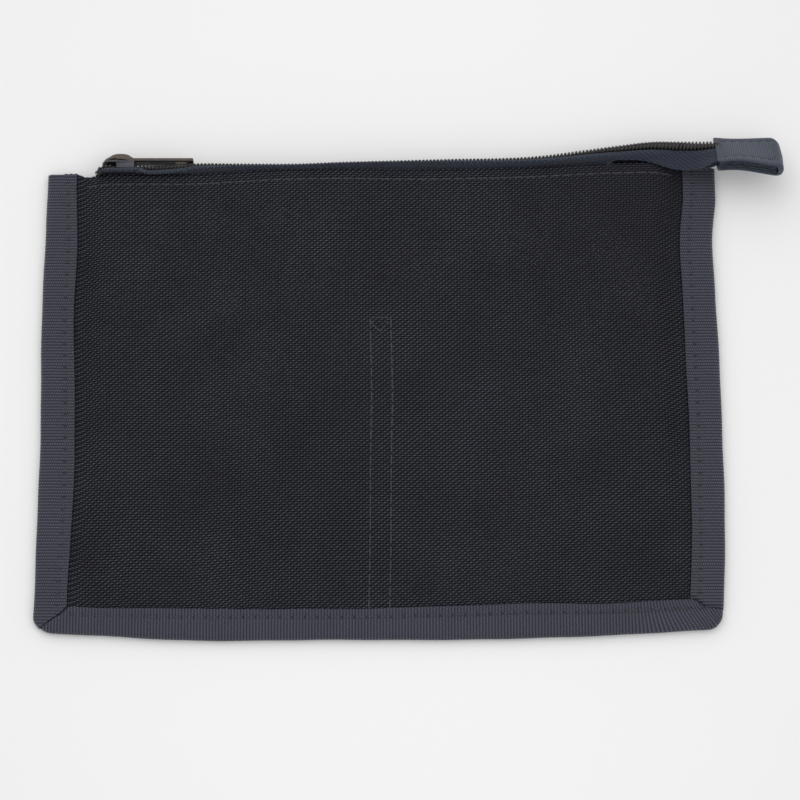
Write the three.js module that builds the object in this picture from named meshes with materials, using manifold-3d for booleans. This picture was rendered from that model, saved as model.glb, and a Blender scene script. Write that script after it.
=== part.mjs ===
// Mesh zip pouch for pens and pencils, lying on its back, in millimetres.
// X runs along the zip towards its free tail, Y from the bottom seam to the zip, Z out of the front wall.
// The origin is the centre of the back wall's rest face.
import * as THREE from "three";
import { mergeVertices } from "three/addons/utils/BufferGeometryUtils.js";
import Module from "manifold-3d";

const wasm = await Module();
wasm.setup();

// Pouch outline
const POUCH_WIDTH = 184;
const POUCH_HEIGHT = 130;
const BOTTOM_BOW = 2;
const CORNER_RADIUS = 5;
const RIGHT_CORNER_RAISE = 1.9;
const HEM_DROP = 1.7;
const HEM_SLOPE = 0.0205;

// Cloth and tape
const MESH_THICKNESS = 0.4;
const BINDING_WIDTH = 9;
const BINDING_THICKNESS = 0.5;
const FOLD_WALL = 1;
const LAYER_GAP = 0.1;
const MITRE_GAP = 0.3;
const ZIP_TAPE_THICKNESS = 0.5;
const TAPE_BEHIND_HEM = 7.5;
const THREAD_WIDTH = 0.6;
const THREAD_THICKNESS = 0.25;

// How far the front wall stands off the back wall, and how soon it gets there
const FRONT_RISE = 4.4;
const SIDE_RAMP = 9;
const BOTTOM_RAMP = 60;
const BACK_RAMP = 4.5;
const POCKET_SLACK = 0.4;
const POCKET_HEIGHT = 83;

// Openings that stand for the mesh in every wall
const OPENINGS_PER_POCKET = 6;
const OPENING_SIZE = 5;
const OPENING_MARGIN = 5;

// Divider seam between the two slip pockets
const DIVIDER_X = 0.2;
const DIVIDER_WIDTH = 5.6;
const DIVIDER_ABOVE_POCKET = 5;
const BARTACK_DROP = 4;
const BARTACK_RISE = 1.5;
const HEM_STITCH_DROP = 3;
const BINDING_STITCH_INSET = 3;

// Zip
const CHAIN_Z = 4.75;
const COIL_HALF_WIDTH = 1.95;
const COIL_THICKNESS = 1.3;
const COIL_RISE = 0.7;
const TOOTH_PITCH = 2;
const TOOTH_DEPTH = 1.5;
const TOOTH_CLEARANCE = 0.5;
const HEM_GAP = 0.3;
const COIL_LEFT_INSET = 12.5;
const TAPE_UNDER_COIL = 0.45;
const TAPE_END_INSET = 3.4;
const TAIL_JOINT_INSET = 8.85;
const TAIL_CUT = 0.3;
const TAIL_ROLL = THREE.MathUtils.degToRad(33);

// Corner dip of the zip, left of the slider
const DIP_DEPTH = 0.9;
const DIP_START = 4;
const DIP_LENGTH = 5;

// Lift and roll of the zip towards its free tail, and where its tapes leave the hems
const TAIL_LIFT = 1.6;
const LIFT_START = 23.35;
const LIFT_LENGTH = 30.36;
const ROLL_START = 3.11;
const ROLL_LENGTH = 12.88;
const RETRACT_START = 31.63;
const FREE_RAMP = 8;
const DROP_RAMP = 7;

// How the tapes part at the slider's wedge, spread round the slider and press together in the end tab
const PARTING_START = 0.6;
const PARTING_LENGTH = 1.3;
const SPREAD_REACH = 8;
const SPREAD_RAMP = 2.5;
const PINCH = 0.4;
const PINCH_START = 4.54;
const PINCH_LENGTH = 4;

// A tape's section beside its coil, as [distance across, drop]: plain, and how far it clears the slider
const TAPE_EDGE = 0.25;
const TAPE_FOLD = [
  [1.9, 0],
  [2.4, 0.4],
  [2.6, 1.15],
];
const SLIDER_CLEARANCES = [-0.6, 0.05, 0.2];

// The free tapes beyond the hem: how deep they hang and how far they stand from the chain's middle
const FRONT_TAPE_DEPTH = 6.8;
const BACK_TAPE_DEPTH = 4;
const FREE_TAPE_KNEE = 0.68;
const FRONT_FREE_ACROSS = 2.6;
const BACK_FREE_ACROSS = 2;
const TAIL_FREE_ACROSS = 1.5;
const HEM_LIP = 0.35;
const HEM_LIP_RISE = 1.05;
const RETRACTED_EDGE = 0.9;

// Slider
const SLIDER_REST_INSET = 20.25;
const SLIDER_LENGTH = 9;
const SLIDER_HALF_WIDTH = 3.4;
const SLIDER_REAR_HALF_WIDTH = 3.1;
const PLATE_THICKNESS = 0.5;
const CHANNEL_FLOOR = -0.85;
const CHANNEL_ROOF = 1.5;
const FLANGE_THICKNESS = 0.6;
const FLANGE_LENGTH = 5;
const FLANGE_LOW = -0.05;
const WEDGE_HALF_WIDTH = 0.55;
const WEDGE_INSET = 0.9;
const WEDGE_LENGTH = 1.7;
const NOSE_LENGTH = 2.2;
const SHOULDER_LENGTH = 1.2;
const NOSE_FULLNESS = 0.8;
const CROWN_HALF_WIDTH = 0.75;
const CROWN_BAR = 0.85;
const CROWN_FRONT_INSET = 0.2;
const CROWN_REAR_INSET = 0.3;
const CROWN_FLAT = 2;
const PULL_LENGTH = 20.6;
const PULL_HALF_WIDTH = 2.2;
const PULL_THICKNESS = 1.1;
const PULL_LIFT = 0.65;
const PULL_WINDOW_HALF = 1.15;
const PULL_WINDOW_START = 0.3;
const PULL_WINDOW_LENGTH = 5.4;
const PULL_SLOT_HALF = 1.1;
const PULL_SLOT_LENGTH = 3;
const PULL_SLOT_INSET = 2;
const PULL_CORNER = 0.8;
const RUNNING_GAP = 0.15;

// End tab
const TAB_LENGTH = 19;
const TAB_WIDTH = 9.8;
const TAB_ABOVE_CHAIN = 2.5;
const TAB_HALF_THICKNESS = 2.2;
const RIBBON_THICKNESS = 0.75;
const TAB_STITCH_INSET = 1.6;
const TAB_OFF_CORNER = -0.3;

// Sizes that follow from the ones above
const HALF_WIDTH = POUCH_WIDTH / 2;
const INNER_HALF = HALF_WIDTH - BINDING_WIDTH;
const TOP = POUCH_HEIGHT / 2;
const BINDING_DEPTH = 2 * BINDING_THICKNESS + 3 * MESH_THICKNESS + 4 * LAYER_GAP;
const BACK_LAYER_Z = BINDING_THICKNESS + LAYER_GAP + MESH_THICKNESS / 2;
const POCKET_LAYER_Z = BACK_LAYER_Z + MESH_THICKNESS + LAYER_GAP;
const FRONT_LAYER_Z = POCKET_LAYER_Z + MESH_THICKNESS + LAYER_GAP;
const WALL_HALF = HALF_WIDTH - FOLD_WALL - LAYER_GAP;
const WALL_TUCK = BINDING_WIDTH - FOLD_WALL - 4 * LAYER_GAP;
const POCKET_TOP = -TOP + POCKET_HEIGHT;
const DIVIDER_TOP = POCKET_TOP + DIVIDER_ABOVE_POCKET;
const ZIP_LEFT = -INNER_HALF + SIDE_RAMP / 3;
const SLIDER_X = -HALF_WIDTH + SLIDER_REST_INSET;
const TAIL_X = HALF_WIDTH - TAIL_JOINT_INSET;
const TAB_X = HALF_WIDTH + TAB_OFF_CORNER;

// The zip's course above the left top corner, as [distance from the middle, height]
const ZIP_COURSE = [
  [ZIP_LEFT, 0.35],
  [SLIDER_X - 5, 0.75],
  [SLIDER_X + 12, 1],
  [-0.43 * HALF_WIDTH, 1.25],
  [-0.24 * HALF_WIDTH, 1.55],
  [0.15 * HALF_WIDTH, 2.35],
  [0.36 * HALF_WIDTH, 2.8],
  [0.5 * HALF_WIDTH, 3.6],
  [0.66 * HALF_WIDTH, 5.2],
  [0.76 * HALF_WIDTH, 6.05],
  [0.85 * HALF_WIDTH, 6.4],
  [HALF_WIDTH, 5.6],
  [TAB_X + TAB_LENGTH, 5.2],
];

const zipHeight = new THREE.CubicInterpolant(
  ZIP_COURSE.map((point) => point[0]),
  ZIP_COURSE.map((point) => point[1]),
  1
);

const smooth = (t) => THREE.MathUtils.smoothstep(t, 0, 1);
const lerp = THREE.MathUtils.lerp;

function range(low, high, count) {
  return Array.from({ length: count + 1 }, (_, i) => lerp(low, high, i / count));
}

// Surface shapes of the pouch

function bottomEdge(x) {
  return -TOP + BOTTOM_BOW * (x / HALF_WIDTH) ** 2;
}

function bottomInner(x) {
  return bottomEdge(x) + BINDING_WIDTH;
}

function hemEdge(x) {
  return TOP - HEM_DROP + HEM_SLOPE * (x + INNER_HALF);
}

function pocketTop(x) {
  return POCKET_TOP + HEM_SLOPE * x;
}

function wallSwell(x, y) {
  return smooth((INNER_HALF - Math.abs(x)) / SIDE_RAMP) * smooth((y - bottomInner(x)) / BOTTOM_RAMP);
}

function frontZ(x, y) {
  return FRONT_LAYER_Z + FRONT_RISE * wallSwell(x, y);
}

function pocketZ(x, y) {
  return POCKET_LAYER_Z + (FRONT_RISE - POCKET_SLACK) * wallSwell(x, y);
}

function backZ(x, y) {
  const inside = Math.min(INNER_HALF - Math.abs(x), y - bottomInner(x));
  const raised = 1 - smooth((inside - LAYER_GAP) / BACK_RAMP);
  return lerp(MESH_THICKNESS / 2, BACK_LAYER_Z, raised);
}

// Height of a wall's row, given as its distance above the bottom binding's inner edge; the top row follows the top
const TOP_ROW = 1000;

// Cells along the curves of the border, the free tail and the divider's seams
const BORDER_CELLS = 16;
const TAIL_CELLS = 8;
const DIVIDER_CELLS = 12;

function rowHeight(x, row, top) {
  return row > TOP_ROW / 2 ? top(x) + row - TOP_ROW : bottomInner(x) + row;
}

// Geometry helpers

const UP = new THREE.Vector3(0, 0, 1);

// Merges a geometry's vertices and turns its faces outwards
function closed(geometry) {
  geometry.deleteAttribute("normal");
  geometry.deleteAttribute("uv");
  const merged = mergeVertices(geometry, 1e-5);
  const position = merged.attributes.position;
  const index = merged.index.array;
  const a = new THREE.Vector3();
  const b = new THREE.Vector3();
  const c = new THREE.Vector3();
  let volume = 0;
  for (let i = 0; i < index.length; i += 3) {
    a.fromBufferAttribute(position, index[i]);
    b.fromBufferAttribute(position, index[i + 1]);
    c.fromBufferAttribute(position, index[i + 2]);
    volume += a.dot(b.cross(c));
  }
  if (volume < 0) {
    for (let i = 0; i < index.length; i += 3) {
      [index[i + 1], index[i + 2]] = [index[i + 2], index[i + 1]];
    }
  }
  return merged;
}

function toSolid(geometry) {
  const merged = closed(geometry);
  return new wasm.Manifold(
    new wasm.Mesh({
      numProp: 3,
      vertProperties: new Float32Array(merged.attributes.position.array),
      triVerts: new Uint32Array(merged.index.array),
    })
  );
}

function fromSolid(solid) {
  const mesh = solid.getMesh();
  const geometry = new THREE.BufferGeometry();
  geometry.setAttribute("position", new THREE.BufferAttribute(new Float32Array(mesh.vertProperties), 3));
  geometry.setIndex(new THREE.BufferAttribute(new Uint32Array(mesh.triVerts), 1));
  return geometry;
}

// Moves every vertex of a geometry to where place(x, y, z) puts it
function moved(geometry, place) {
  const position = geometry.attributes.position;
  for (let i = 0; i < position.count; i += 1) {
    const [x, y, z] = place(position.getX(i), position.getY(i), position.getZ(i));
    position.setXYZ(i, x, y, z);
  }
  return geometry;
}

// A sheet of cloth: a flat box of cells whose middle follows surface(s, t), half a thickness to each side.
// A wall's thickness is measured upright, so that walls lying on each other keep their gap on a slope.
function sheet(stations, rows, surface, thickness, upright = false) {
  const geometry = new THREE.BoxGeometry(1, 1, 1, stations.length - 1, rows.length - 1, 1);
  const pick = (list, share) => list[Math.round((share + 0.5) * (list.length - 1))];
  const step = 0.05;
  return closed(
    moved(geometry, (a, b, side) => {
      const s = pick(stations, a);
      const t = pick(rows, b);
      const along = surface(s + step, t).sub(surface(s - step, t));
      const across = surface(s, t + step).sub(surface(s, t - step));
      const normal = upright ? UP : along.cross(across).normalize();
      return surface(s, t).addScaledVector(normal, side * thickness).toArray();
    })
  );
}

// A prism over a shape, from low to high
function prism(shape, low, high) {
  const geometry = new THREE.ExtrudeGeometry(shape, { depth: high - low, bevelEnabled: false, curveSegments: 6 });
  return geometry.translate(0, 0, low);
}

function polygon(points) {
  return new THREE.Shape(points.map(([x, y]) => new THREE.Vector2(x, y)));
}

const parts = new THREE.Group();

function add(name, geometry, colour, roughness = 0.85, metalness = 0) {
  const material = new THREE.MeshStandardMaterial({ color: colour, roughness, metalness });
  const mesh = new THREE.Mesh(geometry, material);
  mesh.name = name;
  parts.add(mesh);
}

const MESH_COLOUR = 0x2c2d32;
const BINDING_COLOUR = 0x3a3d49;
const ZIP_TAPE_COLOUR = 0x2b3242;
const COIL_COLOUR = 0x2a2a2f;
const METAL_COLOUR = 0x4a4a50;
const RIBBON_COLOUR = 0x464b57;
const THREAD_COLOUR = 0x50535c;

// Walls

// The pouch's outline drawn in by inset, with round bottom corners and a flat top
function outline(inset, top) {
  const half = HALF_WIDTH - inset;
  const radius = Math.max(CORNER_RADIUS - inset, 1);
  const lift = (x) => bottomEdge(x) + inset;
  const shape = new THREE.Shape();
  shape.moveTo(-half, top);
  shape.lineTo(-half, lift(-half) + radius);
  shape.quadraticCurveTo(-half, lift(-half), -half + radius, lift(-half + radius));
  range(-half + radius, half - radius, BORDER_CELLS).forEach((x) => shape.lineTo(x, lift(x)));
  shape.quadraticCurveTo(half, lift(half), half, lift(half) + radius);
  shape.lineTo(half, top);
  shape.closePath();
  return shape;
}

const wallCutter = toSolid(prism(outline(FOLD_WALL + LAYER_GAP, 2 * TOP), -TOP, TOP));

// The openings are square, in rows and columns over each pocket, and clear of the seams round it
const OPENING_COLUMN = (INNER_HALF - SIDE_RAMP / 3 - DIVIDER_WIDTH / 2) / OPENINGS_PER_POCKET;

function openingsBelow(top) {
  const half = OPENING_SIZE / 2;
  const low = bottomInner(0) + OPENING_MARGIN + half;
  const high = top(0) - OPENING_MARGIN - half;
  const rows = Math.floor((high - low) / OPENING_COLUMN);
  const shapes = [];
  for (const side of [-1, 1]) {
    for (let column = 0; column < OPENINGS_PER_POCKET; column += 1) {
      const x = DIVIDER_X + side * (DIVIDER_WIDTH / 2 + (column + 0.5) * OPENING_COLUMN);
      range(low, low + rows * OPENING_COLUMN, rows).forEach((y) => {
        shapes.push(polygon([[x - half, y - half], [x + half, y - half], [x + half, y + half], [x - half, y + half]]));
      });
    }
  }
  return toSolid(prism(shapes, -TOP, TOP));
}

// A mesh wall over the whole width, with its bottom corners rounded to lie inside the binding
function wall(stations, rows, top, height) {
  const surface = (x, row) => {
    const y = rowHeight(x, row, top);
    return new THREE.Vector3(x, y, height(x, y));
  };
  const cloth = toSolid(sheet(stations, rows, surface, MESH_THICKNESS, true)).intersect(wallCutter);
  const openTop = top === pocketTop ? pocketTop : (x) => hemEdge(x) - TAPE_BEHIND_HEM;
  return fromSolid(cloth.subtract(openingsBelow(openTop)));
}

// Stations across the pouch: close together where the walls leave the side bindings
function wallStations(middleCells) {
  const ramp = [0, 1 / 3, 2 / 3, 1].map((share) => INNER_HALF - share * SIDE_RAMP);
  const right = [WALL_HALF, ...ramp].reverse();
  const left = right.map((x) => -x).reverse();
  return [...left, ...range(left[left.length - 1], right[0], middleCells).slice(1, -1), ...right];
}

const WALL_CELLS = 14;
const RAMP_CELLS = 8;
const frontRows = [-WALL_TUCK, ...range(0, BOTTOM_RAMP, RAMP_CELLS), TOP_ROW];
const frontWall = wall(wallStations(WALL_CELLS), frontRows, hemEdge, frontZ);
add("front_mesh_panel", frontWall, MESH_COLOUR);

const pocketWall = wall(wallStations(WALL_CELLS), frontRows, pocketTop, pocketZ);
add("inner_pocket_panel", pocketWall, MESH_COLOUR);

const backInset = [LAYER_GAP, BACK_RAMP / 2, BACK_RAMP + LAYER_GAP];
const backRight = [WALL_HALF, INNER_HALF, ...backInset.map((inset) => INNER_HALF - inset)].reverse();
const backStations = [...backRight.map((x) => -x).reverse(), -INNER_HALF / 2, 0, INNER_HALF / 2, ...backRight];
const backRows = [-WALL_TUCK, 0, ...backInset, POUCH_HEIGHT / 2, TOP_ROW];
add("back_mesh_panel", wall(backStations, backRows, hemEdge, backZ), MESH_COLOUR);

// Binding tape

const bindingSlot = toSolid(
  prism(outline(FOLD_WALL, 2 * POUCH_HEIGHT), BINDING_THICKNESS, BINDING_DEPTH - BINDING_THICKNESS)
);
const bindingInside = toSolid(
  moved(new THREE.BoxGeometry(2 * INNER_HALF, 1, 4 * BINDING_DEPTH, BORDER_CELLS, 1, 1), (x, y, z) => [
    x,
    y < 0 ? bottomInner(x) : 2 * POUCH_HEIGHT,
    z,
  ])
);

// One tape of the binding: the part of the folded border that lies within a region of the plan
function binding(top, region) {
  const border = toSolid(prism(outline(0, top), 0, BINDING_DEPTH));
  const piece = toSolid(prism(polygon(region), -BINDING_DEPTH, 2 * BINDING_DEPTH));
  return fromSolid(border.subtract(bindingInside).subtract(bindingSlot).intersect(piece));
}

// The mitre runs from the inner corner down and outwards at 45 degrees
const MITRE_REACH = 2 * BINDING_WIDTH;
const mitreCorner = bottomInner(INNER_HALF);

function sideRegion(side, top) {
  const gap = MITRE_GAP / 2;
  return [
    [side * (INNER_HALF - gap), top],
    [side * (INNER_HALF - gap), mitreCorner + 2 * gap],
    [side * (INNER_HALF + MITRE_REACH), mitreCorner - MITRE_REACH + gap],
    [side * (INNER_HALF + MITRE_REACH), top],
  ];
}

function bottomRegion() {
  const low = mitreCorner - MITRE_REACH;
  const wide = INNER_HALF + MITRE_REACH - MITRE_GAP / 2;
  return [
    [-wide, low],
    [-INNER_HALF, mitreCorner - MITRE_GAP / 2],
    [-INNER_HALF, mitreCorner],
    [INNER_HALF, mitreCorner],
    [INNER_HALF, mitreCorner - MITRE_GAP / 2],
    [wide, low],
  ];
}

add("left_binding", binding(TOP, sideRegion(-1, TOP + 1)), BINDING_COLOUR);
const rightTop = TOP + RIGHT_CORNER_RAISE;
add("right_binding", binding(rightTop, sideRegion(1, rightTop + 1)), BINDING_COLOUR);
add("bottom_binding", binding(TOP, bottomRegion()), BINDING_COLOUR);

// Zip

// How far along the zip its free tail has rolled over, from 0 to 1
const rolled = (x) => smooth((x - TAIL_X + ROLL_START) / ROLL_LENGTH);

// How far the tapes and coils have parted to pass the slider's wedge
const parted = (x) => 2 * WEDGE_HALF_WIDTH * smooth((SLIDER_X - PARTING_START - x) / PARTING_LENGTH);

// How far the tapes are spread by the slider
const spread = (x) => smooth((SPREAD_REACH - Math.abs(x - SLIDER_X)) / SPREAD_RAMP);

// How far the tapes are pressed together inside the end tab
const pinched = (x) => lerp(1, PINCH, smooth((x - TAB_X + PINCH_START) / PINCH_LENGTH));

function chainZ(x) {
  const dip = DIP_DEPTH * smooth((SLIDER_X - DIP_START - x) / DIP_LENGTH);
  return CHAIN_Z - dip + TAIL_LIFT * smooth((x - TAIL_X + LIFT_START) / LIFT_LENGTH);
}

// A point of the zip: out is away from the pouch, across is towards the front tape
function zipPoint(x, out, across) {
  const roll = TAIL_ROLL * rolled(x);
  const y = TOP + zipHeight.evaluate(x)[0];
  return new THREE.Vector3(
    x,
    y + out * Math.cos(roll) + across * Math.sin(roll),
    chainZ(x) - out * Math.sin(roll) + across * Math.cos(roll)
  );
}

// A tape's section: its edge under the coil, the fold beside the coil, then the two points that hang below
function tapeSection(x, side) {
  const pinch = pinched(x);
  const wide = spread(x);
  const fold = TAPE_FOLD.map(([across, drop], i) => {
    const clear = SLIDER_HALF_WIDTH + ZIP_TAPE_THICKNESS + SLIDER_CLEARANCES[i];
    const reach = pinch * lerp(across, clear, wide) + parted(x) * (1 - wide);
    return zipPoint(x, -TAPE_UNDER_COIL - drop, side * reach);
  });
  const edge = zipPoint(x, -TAPE_UNDER_COIL, side * (TAPE_EDGE * pinch + parted(x)));
  return [edge, ...fold, ...hangingEdge(x, side, pinch)];
}

// The hanging edge lies inside the hem, comes out of it near the right corner, and hangs free beyond
function hangingEdge(x, side, pinch) {
  const height = side > 0 ? frontZ : backZ;
  const offset = -side * (MESH_THICKNESS / 2 + HEM_GAP + ZIP_TAPE_THICKNESS / 2);
  const retract = smooth((x - TAIL_X + RETRACT_START) / FREE_RAMP);
  const lift = smooth((x - TAIL_X + LIFT_START) / FREE_RAMP);
  const drop = smooth((x - TAIL_X) / DROP_RAMP);
  const tail = smooth((x - TAIL_X) / FREE_RAMP);
  const hem = hemEdge(x);
  const depth = side > 0 ? FRONT_TAPE_DEPTH : lerp(BACK_TAPE_DEPTH, FRONT_TAPE_DEPTH, tail);
  const freeAcross = lerp(side > 0 ? FRONT_FREE_ACROSS : BACK_FREE_ACROSS, TAIL_FREE_ACROSS, tail);
  const free = (share) => zipPoint(x, -share * depth, side * pinch * freeAcross);
  const upper = [hem + HEM_LIP + HEM_LIP_RISE * retract, free(FREE_TAPE_KNEE)];
  const lower = [lerp(hem - TAPE_BEHIND_HEM, hem + RETRACTED_EDGE, retract), free(1)];
  return [upper, lower].map(([heldY, loose]) => {
    const heldZ = height(x, heldY) + offset;
    return new THREE.Vector3(x, lerp(heldY, loose.y, drop), lerp(heldZ, loose.z, lift));
  });
}

const SECTION_ROWS = [0, 1, 2, 3, 4, 5];

function tape(stations, side) {
  const surface = (x, row) => {
    const points = tapeSection(x, side);
    const from = THREE.MathUtils.clamp(Math.floor(row), 0, points.length - 2);
    return points[from].clone().lerp(points[from + 1], row - from);
  };
  return sheet(stations, SECTION_ROWS, surface, ZIP_TAPE_THICKNESS);
}

const FREE_START = 0.6 * HALF_WIDTH;
const stretches = [
  [ZIP_LEFT, -INNER_HALF + SIDE_RAMP, 6],
  [-INNER_HALF + SIDE_RAMP, SLIDER_X, 3],
  [SLIDER_X, SLIDER_X + SPREAD_REACH, 4],
  [SLIDER_X + SPREAD_REACH, FREE_START, 9],
  [FREE_START, TAIL_X - TAIL_CUT / 2, 10],
];
const stretchStations = stretches.flatMap(([low, high, cells]) => range(low, high, cells).slice(0, -1));
const tapeStations = [...stretchStations, TAIL_X - TAIL_CUT / 2];
const tailStations = range(TAIL_X + TAIL_CUT / 2, TAB_X + TAB_LENGTH - TAPE_END_INSET, TAIL_CELLS);

// One coil of the zip: a comb whose slanted teeth stop short of the other coil's
function coil(low, high, side) {
  const teeth = Math.max(2, Math.round((high - low) / TOOTH_PITCH));
  const geometry = new THREE.BoxGeometry(high - low, COIL_THICKNESS, COIL_HALF_WIDTH, 2 * teeth, 1, 1);
  const middle = (low + high) / 2;
  const cell = (high - low) / (2 * teeth);
  return closed(
    moved(geometry, (x, y, z) => {
      const along = x + middle;
      const tip = Math.round((along - low) / cell) % 2 === 0 ? 0.5 : -0.5;
      const meeting = side * (TOOTH_CLEARANCE / 2) + tip * TOOTH_DEPTH;
      const across = z * side > 0 ? side * COIL_HALF_WIDTH : meeting;
      return zipPoint(along, y + COIL_RISE, across + side * parted(along)).toArray();
    })
  );
}

const SIDES = [
  ["front", 1],
  ["back", -1],
];

for (const [wallName, side] of SIDES) {
  add(`${wallName}_zipper_tape`, tape(tapeStations, side), ZIP_TAPE_COLOUR);
  add(`tail_${wallName}_tape`, tape(tailStations, side), ZIP_TAPE_COLOUR);
  const coilLeft = -HALF_WIDTH + COIL_LEFT_INSET;
  add(`${wallName}_coil`, coil(coilLeft, TAIL_X - TAIL_CUT / 2, side), COIL_COLOUR, 0.5);
  add(`tail_${wallName}_coil`, coil(TAIL_X + TAIL_CUT / 2, TAB_X - 2 * TAIL_CUT, side), COIL_COLOUR, 0.5);
}

// Slider, drawn about its own centre: x along the zip, y out of the pouch, z across the zip

const SLIDER_Y = zipPoint(SLIDER_X, 0, 0).y;
const atSlider = (x, y, z) => [x + SLIDER_X, y + SLIDER_Y, z + CHAIN_Z];

// A plan shape made a plate between two heights out of the pouch
function plate(shape, low, high) {
  return toSolid(moved(prism(shape, low, high), (x, across, out) => atSlider(x, out, across)));
}

// A side shape made a bar between two places across the zip
function sideBar(shape, low, high) {
  return toSolid(moved(prism(shape, low, high), (x, out, across) => atSlider(x, out, across)));
}

function sliderPlan() {
  const half = SLIDER_LENGTH / 2;
  const shoulder = -half + NOSE_LENGTH;
  const nose = NOSE_FULLNESS * SLIDER_HALF_WIDTH;
  const shape = new THREE.Shape();
  shape.moveTo(half, -SLIDER_REAR_HALF_WIDTH);
  shape.lineTo(half, SLIDER_REAR_HALF_WIDTH);
  shape.lineTo(shoulder + SHOULDER_LENGTH, SLIDER_HALF_WIDTH);
  shape.lineTo(shoulder, SLIDER_HALF_WIDTH);
  shape.quadraticCurveTo(-half, nose, -half, 0);
  shape.quadraticCurveTo(-half, -nose, shoulder, -SLIDER_HALF_WIDTH);
  shape.lineTo(shoulder + SHOULDER_LENGTH, -SLIDER_HALF_WIDTH);
  shape.closePath();
  return shape;
}

const PLATE_TOP = CHANNEL_ROOF + PLATE_THICKNESS;
const PIVOT_OUT = PLATE_TOP + PULL_LIFT;
const PIVOT_X = 0;

function sliderBody() {
  const half = SLIDER_LENGTH / 2;
  const wedgeMiddle = -half + WEDGE_INSET + WEDGE_LENGTH / 2;
  const wedge = polygon([
    [wedgeMiddle - WEDGE_LENGTH / 2, 0],
    [wedgeMiddle, WEDGE_HALF_WIDTH],
    [wedgeMiddle + WEDGE_LENGTH / 2, 0],
    [wedgeMiddle, -WEDGE_HALF_WIDTH],
  ]);
  const pieces = [
    plate(sliderPlan(), CHANNEL_ROOF, PLATE_TOP),
    plate(sliderPlan(), CHANNEL_FLOOR - PLATE_THICKNESS, CHANNEL_FLOOR),
    plate(wedge, CHANNEL_FLOOR - PLATE_THICKNESS / 2, CHANNEL_ROOF + PLATE_THICKNESS / 2),
  ];
  for (const side of [-1, 1]) {
    const outer = side * SLIDER_REAR_HALF_WIDTH;
    const inner = side * (SLIDER_REAR_HALF_WIDTH - FLANGE_THICKNESS);
    const flange = polygon([
      [half - FLANGE_LENGTH, inner],
      [half, inner],
      [half, outer],
      [half - FLANGE_LENGTH, outer],
    ]);
    pieces.push(plate(flange, FLANGE_LOW, CHANNEL_ROOF + PLATE_THICKNESS / 2));
  }
  return fromSolid(pieces.reduce((whole, piece) => whole.add(piece)));
}

// The crown is an arch over the slider, with a window that the pull's bar turns in
function sliderCrown() {
  const front = -SLIDER_LENGTH / 2 + CROWN_FRONT_INSET;
  const rear = SLIDER_LENGTH / 2 - CROWN_REAR_INSET;
  const foot = PLATE_TOP + LAYER_GAP / 2;
  const windowTop = PIVOT_OUT + PULL_THICKNESS / 2 + RUNNING_GAP;
  const crownTop = windowTop + CROWN_BAR;
  const innerFront = front + CROWN_BAR;
  const innerRear = rear - CROWN_BAR;
  const lean = CROWN_BAR / 2;
  const shape = new THREE.Shape();
  shape.moveTo(front, foot);
  shape.bezierCurveTo(front + lean, crownTop - lean, -CROWN_FLAT, crownTop, 0, crownTop);
  shape.bezierCurveTo(CROWN_FLAT, crownTop, rear - lean, crownTop - lean, rear, foot);
  shape.lineTo(innerRear, foot);
  shape.bezierCurveTo(innerRear - lean, windowTop - lean / 2, CROWN_FLAT, windowTop, 0, windowTop);
  shape.bezierCurveTo(-CROWN_FLAT, windowTop, innerFront + lean, windowTop - lean / 2, innerFront, foot);
  shape.closePath();
  return fromSolid(sideBar(shape, -CROWN_HALF_WIDTH, CROWN_HALF_WIDTH));
}

// The pull is a plate with a window for the crown, a round bar to turn on and a slot near its free end
function pullTab() {
  const low = PIVOT_OUT - PULL_THICKNESS / 2;
  const end = PIVOT_X + PULL_LENGTH;
  const shape = new THREE.Shape();
  shape.moveTo(PIVOT_X, -PULL_HALF_WIDTH);
  shape.lineTo(end - PULL_CORNER, -PULL_HALF_WIDTH);
  shape.quadraticCurveTo(end, -PULL_HALF_WIDTH, end, -PULL_HALF_WIDTH + PULL_CORNER);
  shape.lineTo(end, PULL_HALF_WIDTH - PULL_CORNER);
  shape.quadraticCurveTo(end, PULL_HALF_WIDTH, end - PULL_CORNER, PULL_HALF_WIDTH);
  shape.lineTo(PIVOT_X, PULL_HALF_WIDTH);
  shape.closePath();
  const opening = (from, to, half) => {
    const corners = [
      [from, -half],
      [from, half],
      [to, half],
      [to, -half],
    ];
    shape.holes.push(new THREE.Path(corners.map(([x, y]) => new THREE.Vector2(x, y))));
  };
  opening(PIVOT_X + PULL_WINDOW_START, PIVOT_X + PULL_WINDOW_LENGTH, PULL_WINDOW_HALF);
  opening(end - PULL_SLOT_INSET - PULL_SLOT_LENGTH, end - PULL_SLOT_INSET, PULL_SLOT_HALF);
  const blade = plate(shape, low, low + PULL_THICKNESS);
  const barRadius = PULL_THICKNESS / 2;
  const bar = new THREE.CylinderGeometry(barRadius, barRadius, 2 * PULL_HALF_WIDTH, 16);
  bar.rotateX(Math.PI / 2);
  const [x, y, z] = atSlider(PIVOT_X, PIVOT_OUT, 0);
  return fromSolid(blade.add(toSolid(bar.translate(x, y, z))));
}

add("slider_body", sliderBody(), METAL_COLOUR, 0.35, 0.8);
add("slider_crown", sliderCrown(), METAL_COLOUR, 0.35, 0.8);
add("pull_tab", pullTab(), METAL_COLOUR, 0.4, 0.7);

// End tab: a ribbon folded round the zip's end, with a box of stitching on each face

const tabEnd = TAB_X + TAB_LENGTH;
const tabPlace = (x, out, across) => zipPoint(Math.max(x, TAB_X), out, across).setX(x).toArray();

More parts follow.
